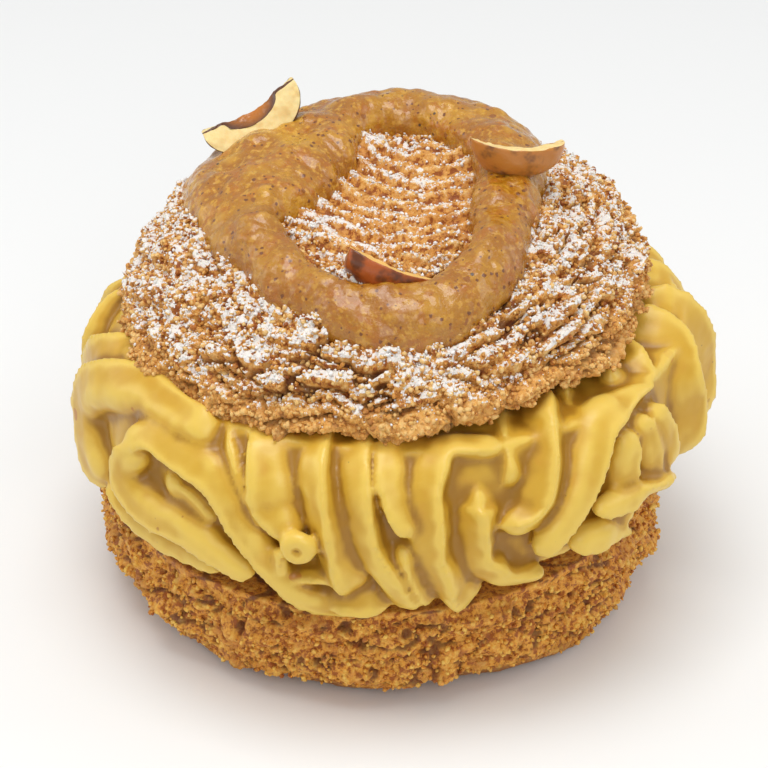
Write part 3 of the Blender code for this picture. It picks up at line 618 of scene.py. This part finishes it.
def swept(section, radii, rooted, sink, pointed, leans, places, spacing=0.9, sides=44):
    per_degree = math.radians(CREAM_HEART + CREAM_BULGE) / MM
    track = smooth_path([(b * per_degree, h) for b, h in places], spacing)
    share = np.linspace(0.0, 1.0, len(track))
    radius = np.interp(share, np.linspace(0.0, 1.0, len(radii)), radii)
    lean = np.radians(np.interp(share, np.linspace(0.0, 1.0, len(leans)), leans))
    spots = [below_surface(b / per_degree, h, sink + rooted * r) for (b, h), r in zip(track, radius)]
    centre, outward = (np.array(v) for v in zip(*spots))
    length = np.concatenate([[0.0], np.cumsum(np.linalg.norm(np.diff(centre, axis=0), axis=1))])
    start = np.clip(length / ((3.5 if pointed else 1.2) * radius), 0.02, 1.0)
    end = np.clip((length[-1] - length) / (1.2 * radius), 0.02, 1.0)
    taper = (start if pointed else rounded(start)) * rounded(end)
    tangent = np.gradient(centre, axis=0)
    tangent /= np.linalg.norm(tangent, axis=1)[:, None]
    outward -= (outward * tangent).sum(1)[:, None] * tangent
    outward /= np.linalg.norm(outward, axis=1)[:, None]
    sideways = np.cross(tangent, outward)
    angle = bearings(sides)
    rings = []
    for k in range(len(centre)):
        reach = section(angle, radius[k] * taper[k])[:, None]
        turned = (angle + lean[k])[:, None]
        rings.append(centre[k] + reach * (np.cos(turned) * outward[k] + np.sin(turned) * sideways[k]))
    return stacked_rings(rings)


def front_fold(half_widths, sink, pointed, leans, places):
    radii = [FOLD_SPREAD * half_width * MM for half_width in half_widths]
    return swept(teardrop, radii, 1.45, sink * MM, pointed, leans, places)


def curled_tip():
    bearing, height, coil, thickness = CURL
    middle, normal = (Vector(v) for v in below_surface(bearing, height, 0.6 * thickness))
    across = normal.cross(Vector((0.0, 0.0, 1.0))).normalized()
    rings = []
    for turn in np.radians(np.linspace(-30.0, 330.0, 40)):
        arm = math.cos(turn) * across + math.sin(turn) * normal.cross(across)
        hub = middle + coil * arm
        rings.append([tuple(hub + thickness * (math.cos(a) * arm + math.sin(a) * normal)) for a in bearings(20)])
    return stacked_rings(rings)


def back_folds():
    """Upright folds round the sides and back, like the ones that the front shows."""
    folds = []
    for k, bearing in enumerate(range(97, 272, 8)):
        sway = 3.2 * math.sin(2.3 * k)
        foot = 19.5 + 2.5 * math.sin(1.3 * k)
        places = ((bearing, 54), (bearing + sway, 48), (bearing + 1 - 0.6 * sway, 39), (bearing + 3, 30),
                  (bearing + 6 + 0.5 * sway, foot))
        widths = (2.4, 2.9 + 0.3 * math.sin(k), 2.8, 2.6 + 0.4 * math.cos(2.1 * k))
        folds.append(front_fold(widths, 0.2 + 0.5 * math.cos(1.7 * k), False, (-35, -20, 5), places))
    return folds


def cream_core():
    rings = []
    for rise in np.linspace(-0.95, 0.97, 12):
        bulge = mound(rise)[0]
        height = (CREAM_MIDDLE + CREAM_RISE * rise) / MM
        inset = FOLD_DEPTH * (bulge + CORE_TUCK * max(0.0, -rise - 0.5) ** 2)
        rings.append([below_surface(math.degrees(turn), height, inset)[0] for turn in bearings(72)])
    return stacked_rings(rings)


def joined(shapes):
    points, faces = [], []
    for shape_points, shape_faces in shapes:
        start = len(points)
        points += [tuple(p) for p in shape_points]
        faces += [tuple(start + i for i in face) for face in shape_faces]
    return points, faces


def make_cream():
    shapes = [cream_core(), curled_tip(), *back_folds()]
    shapes += [front_fold(*fold) for fold in FRONT_FOLDS]
    cream = mesh_piece("cream", *joined(shapes))
    fuse = cream.modifiers.new("fuse", "REMESH")
    fuse.mode = "VOXEL"
    fuse.voxel_size = CREAM_VOXEL
    relax = cream.modifiers.new("relax", "SMOOTH")
    relax.factor = 0.5
    relax.iterations = 2
    applied(cream)
    cream.data.shade_smooth()
    points = coordinates(cream.data)
    wobble = 0.22 * soft_noise(points / (5.0 * MM), 81) + 0.07 * soft_noise(points / (1.8 * MM), 82)
    move_to(cream.data, points + normals(cream.data) * (wobble * MM)[:, None])
    # Groove depth, which the cream's colour uses for painted shade in the creases and painted light on the crests
    paint(cream.data, "groove", hollowness(cream.data, 1.6 * MM))
    return cream


# ---------------------------------------------------------------- hazelnuts


def turned_to(along, face):
    x = Vector(along).normalized()
    z = -(Vector(face) - Vector(face).dot(x) * x).normalized()
    return Matrix((x, z.cross(x), z)).transposed()


def make_nut(name, size, kept, hollow, place, along, face, dip, blunt, seed):
    """Half a hazelnut: its broken wall falls away by dip in the middle, and it starts blunt or pointed."""
    columns, arc = 64, 40
    length, breadth, depth = (v * MM for v in size)
    hollow_length, hollow_radius = (v * MM for v in hollow)
    rings, kind, stain = [], [], []
    for t in np.linspace(0.03, 0.97, columns) * math.pi:
        x = -0.5 * length * math.cos(t)
        thick = math.sin(t) ** (blunt + (0.85 - blunt) * t / math.pi)
        sweep = np.radians(np.linspace(0.0, kept * (1.0 - dip * math.sin(t) ** 2), arc))
        scoop = math.sqrt(max(0.0, 1.0 - (2.0 * x / hollow_length) ** 2))
        inner = max(hollow_radius * scoop, 0.3 * MM * thick)
        sag = 2.5 * MM * dip * math.sin(t) ** 2
        skin = [(x, breadth * thick * math.cos(a), sag + depth * thick * math.sin(a)) for a in sweep]
        flat_start = [(x, y, sag) for y in np.linspace(breadth * thick, inner, 14)[1:-1]]
        bowl = [(x, inner * math.cos(a), sag + inner * math.sin(a)) for a in sweep]
        end = skin[-1], bowl[-1]
        flat_end = [tuple(np.array(end[0]) + (np.array(end[1]) - np.array(end[0])) * s)
                    for s in np.linspace(0.0, 1.0, 14)[1:-1]]
        rings.append(skin + flat_end + bowl[::-1] + flat_start[::-1])
        kind.append([0.0] * arc + [1.0] * 12 + [2.0] * arc + [1.0] * 12)
        fade = np.linspace(0.0, 1.0, 12) * math.sin(t) ** 3
        bowl_fade = np.linspace(1.0, 0.5, arc) * math.sin(t) ** 3
        stain.append(np.concatenate([np.zeros(arc), fade, bowl_fade, 0.5 * fade[::-1]]))
    points, faces = stacked_rings(rings)
    points = np.array(points)
    kind = np.append(np.array(kind).ravel(), (0.0, 0.0))
    nut = mesh_piece(name.replace("hazelnut", "nut"), points, faces)
    rough = 0.10 * soft_noise(points / (1.6 * MM), seed) + 0.22 * soft_noise(points / (3.6 * MM), seed + 1)
    break_up = 0.16 * soft_noise(points / (0.8 * MM), seed + 2) * (kind > 0.5)
    points = points + normals(nut.data) * ((rough + break_up) * MM)[:, None]
    turn = np.array(turned_to(along, face))
    move_to(nut.data, points @ turn.T + np.array(place) * MM)
    paint(nut.data, "flesh", (kind == 1.0).astype(float))
    paint(nut.data, "hollow", (kind == 2.0).astype(float))
    paint(nut.data, "stain", np.append(np.array(stain).ravel(), (0.0, 0.0)))
    return nut


# ---------------------------------------------------------------- small things


def scattered_grains(name, spots, up, sizes, seed, flat=0.75):
    """One mesh of small uneven grains at those spots."""
    ball = bmesh.new()
    bmesh.ops.create_icosphere(ball, subdivisions=1, radius=1.0)
    shape = np.array([v.co[:] for v in ball.verts])
    faces = np.array([[v.index for v in f.verts] for f in ball.faces])
    ball.free()
    rng = np.random.default_rng(seed)
    points, all_faces = [], []
    for k, (spot, normal, size) in enumerate(zip(spots, up, sizes)):
        spin = np.linalg.qr(rng.normal(size=(3, 3)))[0]
        grain = (shape * rng.uniform(0.65, 1.25, (len(shape), 1))) @ spin.T * rng.uniform(0.6, 1.0, 3)
        points.append(spot + grain * size)
        all_faces.append(faces + k * len(shape))
    return mesh_piece(name, np.vstack(points), np.vstack(all_faces), smooth=True)


def on_surface(obj, weights, count, seed):
    """Random vertices of obj, chosen by weight: their places, normals and numbers."""
    rng = np.random.default_rng(seed)
    chosen = rng.choice(len(weights), count, replace=False, p=weights / weights.sum())
    mesh = obj.data
    return coordinates(mesh)[chosen], normals(mesh)[chosen], rng, chosen


def values_of(mesh, name):
    out = np.empty(len(mesh.vertices), np.float32)
    mesh.attributes[name].data.foreach_get("value", out)
    return out.astype(float)


def sugar_grains(cap):
    weights = np.clip(values_of(cap.data, "sugar"), 0.0, 1.0)
    count = 7500
    spots, up, rng, _ = on_surface(cap, weights, count, 5)
    sizes = rng.uniform(0.10, 0.26, count) * MM * (1.0 + (rng.random(count) > 0.9) * 0.7)
    return scattered_grains("icing_sugar", spots + up * (0.5 * sizes)[:, None], up, sizes, 6)


def cap_crumbs(cap):
    """Loose crumbs of craquelin on the top crust, dusted as the crust is below them."""
    count = 8500
    dust, rim = (values_of(cap.data, name) for name in ("sugar", "rim"))
    shown = step(normals(cap.data)[:, 2], -0.5, 0.2) * (0.5 + 0.5 * rim)
    shown *= step(np.hypot(*(coordinates(cap.data)[:, :2] - CENTRE).T), 12.0 * MM, 20.0 * MM)
    spots, up, rng, near = on_surface(cap, shown, count, 7)
    sizes = rng.uniform(0.25, 0.62, count) * MM
    crumbs = scattered_grains("cap_crumbs", spots + up * (0.25 * sizes)[:, None], up, sizes, 9)
    corners = len(crumbs.data.vertices) // count
    tone = np.repeat(rng.uniform(-0.6, 1.2, count), corners)
    facing = step(normals(crumbs.data)[:, 2], 0.1, 0.8)
    paint(crumbs.data, "raised", tone)
    paint(crumbs.data, "crack", 0.0 * tone)
    paint(crumbs.data, "rim", np.repeat(rim[near], corners))
    paint(crumbs.data, "sugar", np.repeat(dust[near], corners) * facing)
    return crumbs


def base_crumbs(base):
    count = 2400
    level = coordinates(base.data)[:, 2]
    shown = np.clip(1.0 - values_of(base.data, "foot"), 0.0, 1.0) * (level < 16.0 * MM)
    spots, up, rng, _ = on_surface(base, shown, count, 8)
    sizes = rng.uniform(0.25, 0.60, count) * MM
    crumbs = scattered_grains("base_crumbs", spots + up * (0.25 * sizes)[:, None], up, sizes, 10)
    tone = np.repeat(rng.uniform(-0.6, 1.2, count), len(crumbs.data.vertices) // count)
    paint(crumbs.data, "raised", tone)
    paint(crumbs.data, "crack", 0.0 * tone)
    paint(crumbs.data, "foot", 0.0 * tone)
    return crumbs


# ---------------------------------------------------------------- materials


class Look:
    """A Principled material, with short calls for the nodes that the finishes share."""

    def __init__(self, name, **sockets):
        self.material = bpy.data.materials.new(name)
        self.material.use_nodes = True
        self.tree = self.material.node_tree
        self.shader = self.tree.nodes["Principled BSDF"]
        self.place = self.node("ShaderNodeTexCoord").outputs["Object"]
        for socket, value in sockets.items():
            self.shader.inputs[socket.replace("_", " ")].default_value = value

    def node(self, kind, **settings):
        made = self.tree.nodes.new(kind)
        for key, value in settings.items():
            setattr(made, key, value)
        return made

    def put(self, socket, value):
        if isinstance(value, bpy.types.NodeSocket):
            self.tree.links.new(value, socket)
        else:
            socket.default_value = value

    def noise(self, size_mm, detail=3.0, roughness=0.55, shift=0.0, stretch=(1, 1, 1)):
        place = self.node("ShaderNodeMapping")
        self.put(place.inputs["Vector"], self.place)
        place.inputs["Location"].default_value = (shift, shift, shift)
        place.inputs["Scale"].default_value = stretch
        made = self.node("ShaderNodeTexNoise")
        self.put(made.inputs["Vector"], place.outputs["Vector"])
        made.inputs["Scale"].default_value = 1000.0 / size_mm
        made.inputs["Detail"].default_value = detail
        made.inputs["Roughness"].default_value = roughness
        return made.outputs["Fac"]

    def cells(self, size_mm, shift=0.0, wander=0.0):
        """Distance to the nearest of scattered points, in cells, and that point's random colour."""
        place = self.node("ShaderNodeMapping")
        place.inputs["Location"].default_value = (shift, shift, shift)
        source = self.place
        if wander:
            bend = self.node("ShaderNodeTexNoise")
            self.put(bend.inputs["Vector"], self.place)
            bend.inputs["Scale"].default_value = 1000.0 / (size_mm * 0.6)
            mix = self.node("ShaderNodeVectorMath", operation="MULTIPLY_ADD")
            self.put(mix.inputs[0], bend.outputs["Color"])
            mix.inputs[1].default_value = (wander * MM,) * 3
            self.put(mix.inputs[2], self.place)
            source = mix.outputs["Vector"]
        self.put(place.inputs["Vector"], source)
        made = self.node("ShaderNodeTexVoronoi")
        self.put(made.inputs["Vector"], place.outputs["Vector"])
        made.inputs["Scale"].default_value = 1000.0 / size_mm
        split = self.node("ShaderNodeSeparateColor")
        self.put(split.inputs["Color"], made.outputs["Color"])
        return made.outputs["Distance"], split.outputs["Red"], split.outputs["Green"]

    def painted(self, name):
        return self.node("ShaderNodeAttribute", attribute_name=name).outputs["Fac"]

    def ramp(self, value, low, high, start=0.0, end=1.0):
        made = self.node("ShaderNodeMapRange", interpolation_type="SMOOTHSTEP")
        for socket, number in zip(("Value", "From Min", "From Max", "To Min", "To Max"), (value, low, high, start, end)):
            self.put(made.inputs[socket], number)
        return made.outputs["Result"]

    def sum(self, operation, first, second):
        made = self.node("ShaderNodeMath", operation=operation)
        self.put(made.inputs[0], first)
        self.put(made.inputs[1], second)
        return made.outputs["Value"]

    def mix(self, share, first, second):
        made = self.node("ShaderNodeMix", data_type="RGBA")
        for socket, value in ((made.inputs[0], share), (made.inputs[6], first), (made.inputs[7], second)):
            self.put(socket, (*value, 1.0) if isinstance(value, tuple) and len(value) == 3 else value)
        return made.outputs[2]

    def spots(self, colour, paint, cell_mm, low, high, chance, shift=0.0, wander=0.0):
        """Lays small spots of paint over colour: edge from low to high, in the chosen share of cells."""
        distance, pick, other = self.cells(cell_mm, shift, wander)
        reach = self.sum("MULTIPLY", other, high)
        mask = self.ramp(self.sum("SUBTRACT", reach, distance), low - 0.02, low + 0.02)
        mask = self.sum("MULTIPLY", mask, self.sum("LESS_THAN", pick, chance))
        return self.mix(mask, colour, paint)

    def finish(self, colour, roughness=None, height=None, depth_mm=0.1, strength=1.0):
        self.put(self.shader.inputs["Base Color"], colour)
        if roughness is not None:
            self.put(self.shader.inputs["Roughness"], roughness)
        if height is not None:
            bump = self.node("ShaderNodeBump")
            bump.inputs["Strength"].default_value = strength
            bump.inputs["Distance"].default_value = depth_mm * MM
            self.put(bump.inputs["Height"], height)
            self.put(self.shader.inputs["Normal"], bump.outputs["Normal"])
        return self.material


def crust_look(name, sugared):
    look = Look(name, Roughness=0.8, Subsurface_Weight=0.08, Subsurface_Scale=0.0012)
    look.shader.inputs["Subsurface Radius"].default_value = (1.0, 0.45, 0.15)
    raised = look.painted("raised")
    patch = look.noise(6.0, 3.0, 0.6, 0.3)
    crumb = look.noise(1.0, 4.0, 0.7, 0.1)
    height = look.sum("ADD", raised, look.ramp(crumb, 0.35, 0.65, -0.7, 0.7))
    if sugared:
        deep, warm, pale = (0.30, 0.075, 0.008), (0.68, 0.31, 0.055), (0.87, 0.57, 0.22)
    else:
        deep, warm, pale = (0.36, 0.095, 0.009), (0.76, 0.33, 0.040), (0.92, 0.56, 0.11)
    # Darker brown where the relief is low and paler where it is raised: the crust's own uneven browning, with painted
    # shade in the low places between crumbs and painted light on the raised ones. On loose crumbs, raised is a random
    # tone.
    colour = look.mix(look.ramp(height, -0.75, 0.0), deep, warm)
    colour = look.mix(look.ramp(height, 0.0, 1.1), colour, pale)
    colour = look.mix(look.ramp(patch, 0.50, 0.72, 0.0, 0.5), colour, (0.42, 0.14, 0.024))
    colour = look.mix(look.ramp(look.noise(1.7, 2.0, 0.5, 0.7), 0.55, 0.7, 0.0, 0.5), colour, (0.66, 0.26, 0.045))
    # Painted shade: near-black brown in the fissures and, on the bottom crust, in the pores
    colour = look.mix(look.ramp(look.painted("crack"), 0.15, 0.9, 0.0, 0.8), colour, (0.15, 0.04, 0.008))
    roughness = look.ramp(look.noise(1.2, 2.0, 0.5, 0.4), 0.35, 0.65, 0.45, 0.85)
    if sugared:
        colour = look.mix(look.sum("MULTIPLY", look.painted("rim"), 0.35), colour, (0.85, 0.47, 0.13))
        speck = look.noise(0.75, 4.0, 0.75, 0.9)
        level = look.sum("ADD", look.ramp(look.painted("sugar"), 0.0, 0.9, -0.20, 0.17), speck)
        level = look.sum("ADD", level, look.ramp(crumb, 0.3, 0.7, -0.05, 0.05))
        colour = look.mix(look.ramp(level, 0.49, 0.57, 0.0, 0.95), colour, (0.88, 0.84, 0.79))
    else:
        colour = look.mix(look.ramp(look.painted("foot"), 0.2, 1.0, 0.0, 0.8), colour, (0.30, 0.115, 0.03))
    return look.finish(colour, roughness, crumb, 0.45, 1.0)


def cream_look():
    look = Look("cream_mousseline", Roughness=0.38, Subsurface_Weight=0.08, Subsurface_Scale=0.001)
    look.shader.inputs["Subsurface Radius"].default_value = (1.0, 0.65, 0.18)
    look.shader.inputs["Specular IOR Level"].default_value = 0.42
    broad = look.noise(9.0, 2.0, 0.5, 0.2)
    colour = look.mix(look.ramp(broad, 0.35, 0.65), (0.59, 0.330, 0.028), (0.65, 0.385, 0.040))
    blotch = look.noise(3.2, 2.0, 0.5, 0.6)
    colour = look.mix(look.ramp(blotch, 0.56, 0.72, 0.0, 0.35), colour, (0.60, 0.29, 0.03))
    colour = look.spots(colour, (0.50, 0.20, 0.022), 4.6, 0.0, 0.20, 0.24, 0.13, 1.2)
    colour = look.spots(colour, (0.40, 0.14, 0.015), 3.4, 0.0, 0.12, 0.22, 0.21, 0.9)
    colour = look.spots(colour, (0.45, 0.23, 0.04), 2.2, 0.0, 0.10, 0.20, 0.31, 0.3)
    colour = look.spots(colour, (0.03, 0.018, 0.01), 3.6, 0.0, 0.050, 0.42, 0.57)
    # Painted shade: darker brown in the creases between folds; painted light: paler yellow on the crests, both set by
    # the groove depth
    groove = look.painted("groove")
    colour = look.mix(look.ramp(groove, -0.02, 0.26, 0.0, 0.9), colour, (0.33, 0.15, 0.010))
    colour = look.mix(look.ramp(groove, -0.03, -0.28, 0.0, 0.75), colour, (0.82, 0.58, 0.11))
    fine = look.noise(0.9, 2.0, 0.5, 0.8)
    return look.finish(colour, look.ramp(blotch, 0.3, 0.7, 0.30, 0.42), fine, 0.04, 0.5)


def praline_look():
    look = Look("praline_sauce_look", Roughness=0.2, Subsurface_Weight=0.10, Subsurface_Scale=0.0012)
    look.shader.inputs["Subsurface Radius"].default_value = (1.0, 0.5, 0.2)
    look.shader.inputs["Coat Weight"].default_value = 0.5
    look.shader.inputs["Coat Roughness"].default_value = 0.04
    broad = look.noise(7.0, 3.0, 0.55, 0.15)
    colour = look.mix(look.ramp(broad, 0.36, 0.66), (0.38, 0.14, 0.006), (0.53, 0.25, 0.012))
    colour = look.mix(look.ramp(look.noise(2.6, 3.0, 0.6, 0.45), 0.48, 0.64, 0.0, 0.8), colour, (0.44, 0.14, 0.006))
    colour = look.mix(look.ramp(look.noise(0.9, 3.0, 0.6, 0.95), 0.50, 0.66, 0.0, 0.7), colour, (0.70, 0.38, 0.045))
    colour = look.mix(look.ramp(look.painted("lump"), 0.3, 0.9, 0.0, 0.5), colour, (0.68, 0.36, 0.035))
    # Painted shade: the sauce darker where the ring is narrow
    colour = look.mix(look.sum("MULTIPLY", look.painted("thin"), 0.30), colour, (0.30, 0.095, 0.004))
    colour = look.spots(colour, (0.18, 0.055, 0.008), 0.9, 0.0, 0.34, 0.55, 0.2, 0.5)
    colour = look.spots(colour, (0.30, 0.10, 0.010), 1.7, 0.0, 0.30, 0.40, 0.35, 1.0)
    colour = look.spots(colour, (0.07, 0.03, 0.012), 2.2, 0.0, 0.13, 0.4, 0.5, 0.4)
    fine = look.noise(1.5, 4.0, 0.62, 0.7)
    return look.finish(colour, look.ramp(fine, 0.35, 0.65, 0.22, 0.40), fine, 0.40, 1.0)


def nut_look(name, skin, flesh):
    look = Look(name, Roughness=0.45, Subsurface_Weight=0.12, Subsurface_Scale=0.002)
    look.shader.inputs["Subsurface Radius"].default_value = (1.0, 0.6, 0.3)
    grain = look.noise(1.4, 3.0, 0.6, 0.2)
    pale = look.mix(look.ramp(grain, 0.4, 0.7, 0.0, 0.6), flesh, (0.80, 0.52, 0.17))
    bark = look.mix(look.ramp(look.noise(3.0, 3.0, 0.6, 0.5), 0.46, 0.68, 0.0, 0.85), skin, (0.085, 0.028, 0.012))
    colour = look.mix(look.ramp(look.painted("flesh"), 0.35, 0.65), bark, pale)
    stain = look.sum("MULTIPLY", look.ramp(look.painted("stain"), 0.45, 0.95), look.ramp(grain, 0.2, 0.5, 0.5, 1.0))
    colour = look.mix(stain, colour, (0.50, 0.17, 0.025))
    return look.finish(colour, look.ramp(look.painted("flesh"), 0.3, 0.7, 0.28, 0.6), grain, 0.12, 0.6)


def plain_look(name, colour, roughness):
    look = Look(name, Roughness=roughness)
    tone = tuple(0.82 * c for c in colour)
    return look.finish(look.mix(look.ramp(look.noise(0.8, 2.0, 0.5), 0.35, 0.65), tone, colour))


# ---------------------------------------------------------------- assembly


def dress(obj, material, slot, *nodes):
    obj.data.materials.clear()
    obj.data.materials.append(material)
    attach(obj, "root")
    if nodes:
        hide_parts(*nodes)


def build():
    cap, base = make_cap(), make_base()
    craquelin, choux = crust_look("craquelin", True), crust_look("baked_choux", False)
    dress(cap_crumbs(cap), craquelin, "choux_crust")
    dress(base_crumbs(base), choux, "choux_crust")
    dress(sugar_grains(cap), plain_look("icing_sugar_white", (0.90, 0.88, 0.85), 0.9), "choux_crust")
    dress(cap, craquelin, "choux_crust", "top_crust")
    dress(base, choux, "choux_crust", "bottom_crust")
    dress(make_praline(), praline_look(), "praline_sauce", "praline_ring")
    dress(make_cream(), cream_look(), "praline_cream", "praline_cream")
    skins = {"hazelnut_left": (0.12, 0.045, 0.02), "hazelnut_right": (0.50, 0.19, 0.03),
             "hazelnut_front": (0.42, 0.095, 0.015)}
    fleshes = {"hazelnut_left": (0.88, 0.70, 0.32), "hazelnut_right": (0.88, 0.66, 0.28),
               "hazelnut_front": (0.86, 0.50, 0.13)}
    for seed, (name, facts) in enumerate(NUTS.items()):
        nut = make_nut(name, *facts, 90 + 5 * seed)
        dress(nut, nut_look(name + "_look", skins[name], fleshes[name]), "hazelnut_kernel", name)


def studio():
    floor = mesh_piece("floor", [(-3, -3, 0), (3, -3, 0), (3, 3, 0), (-3, 3, 0)], [(0, 1, 2, 3)])
    white = bpy.data.materials.new("white_paper")
    white.use_nodes = True
    shader = white.node_tree.nodes["Principled BSDF"]
    shader.inputs["Base Color"].default_value = (0.87, 0.87, 0.86, 1.0)
    shader.inputs["Roughness"].default_value = 0.9
    floor.data.materials.append(white)
    world = bpy.data.worlds.new("studio")
    bpy.context.scene.world = world
    world.use_nodes = True
    world.node_tree.nodes["Background"].inputs[0].default_value = (0.97, 0.985, 1.0, 1.0)
    world.node_tree.nodes["Background"].inputs[1].default_value = 0.52
    lamps = (("top", (-0.04, -0.08, 0.62), 0.36, 2.1), ("right", (0.50, 0.05, 0.25), 0.30, 0.42),
             ("left", (-0.50, 0.05, 0.25), 0.30, 0.46), ("front", (0.10, -0.55, 0.40), 0.30, 0.8))
    for name, place, size, power in lamps:
        data = bpy.data.lights.new(name, "AREA")
        data.size, data.energy = size, power
        lamp = bpy.data.objects.new(name, data)
        lamp.location = place
        lamp.rotation_euler = (Vector((0.0, 0.0, 0.035)) - lamp.location).to_track_quat("-Z", "Y").to_euler()
        bpy.context.scene.collection.objects.link(lamp)
    data = bpy.data.cameras.new("photo_angle")
    data.lens, data.sensor_width = 133.9, 36.0
    camera = bpy.data.objects.new("photo_angle", data)
    target, elevation, away = Vector((0.001, 0.0, 0.0295)), math.radians(32.0), 0.42
    camera.location = target + away * Vector((0.0, -math.cos(elevation), math.sin(elevation)))
    camera.rotation_euler = (target - camera.location).to_track_quat("-Z", "Y").to_euler()
    bpy.context.scene.collection.objects.link(camera)
    bpy.context.scene.camera = camera
    bpy.context.scene.view_settings.view_transform = "Standard"


build()
studio()
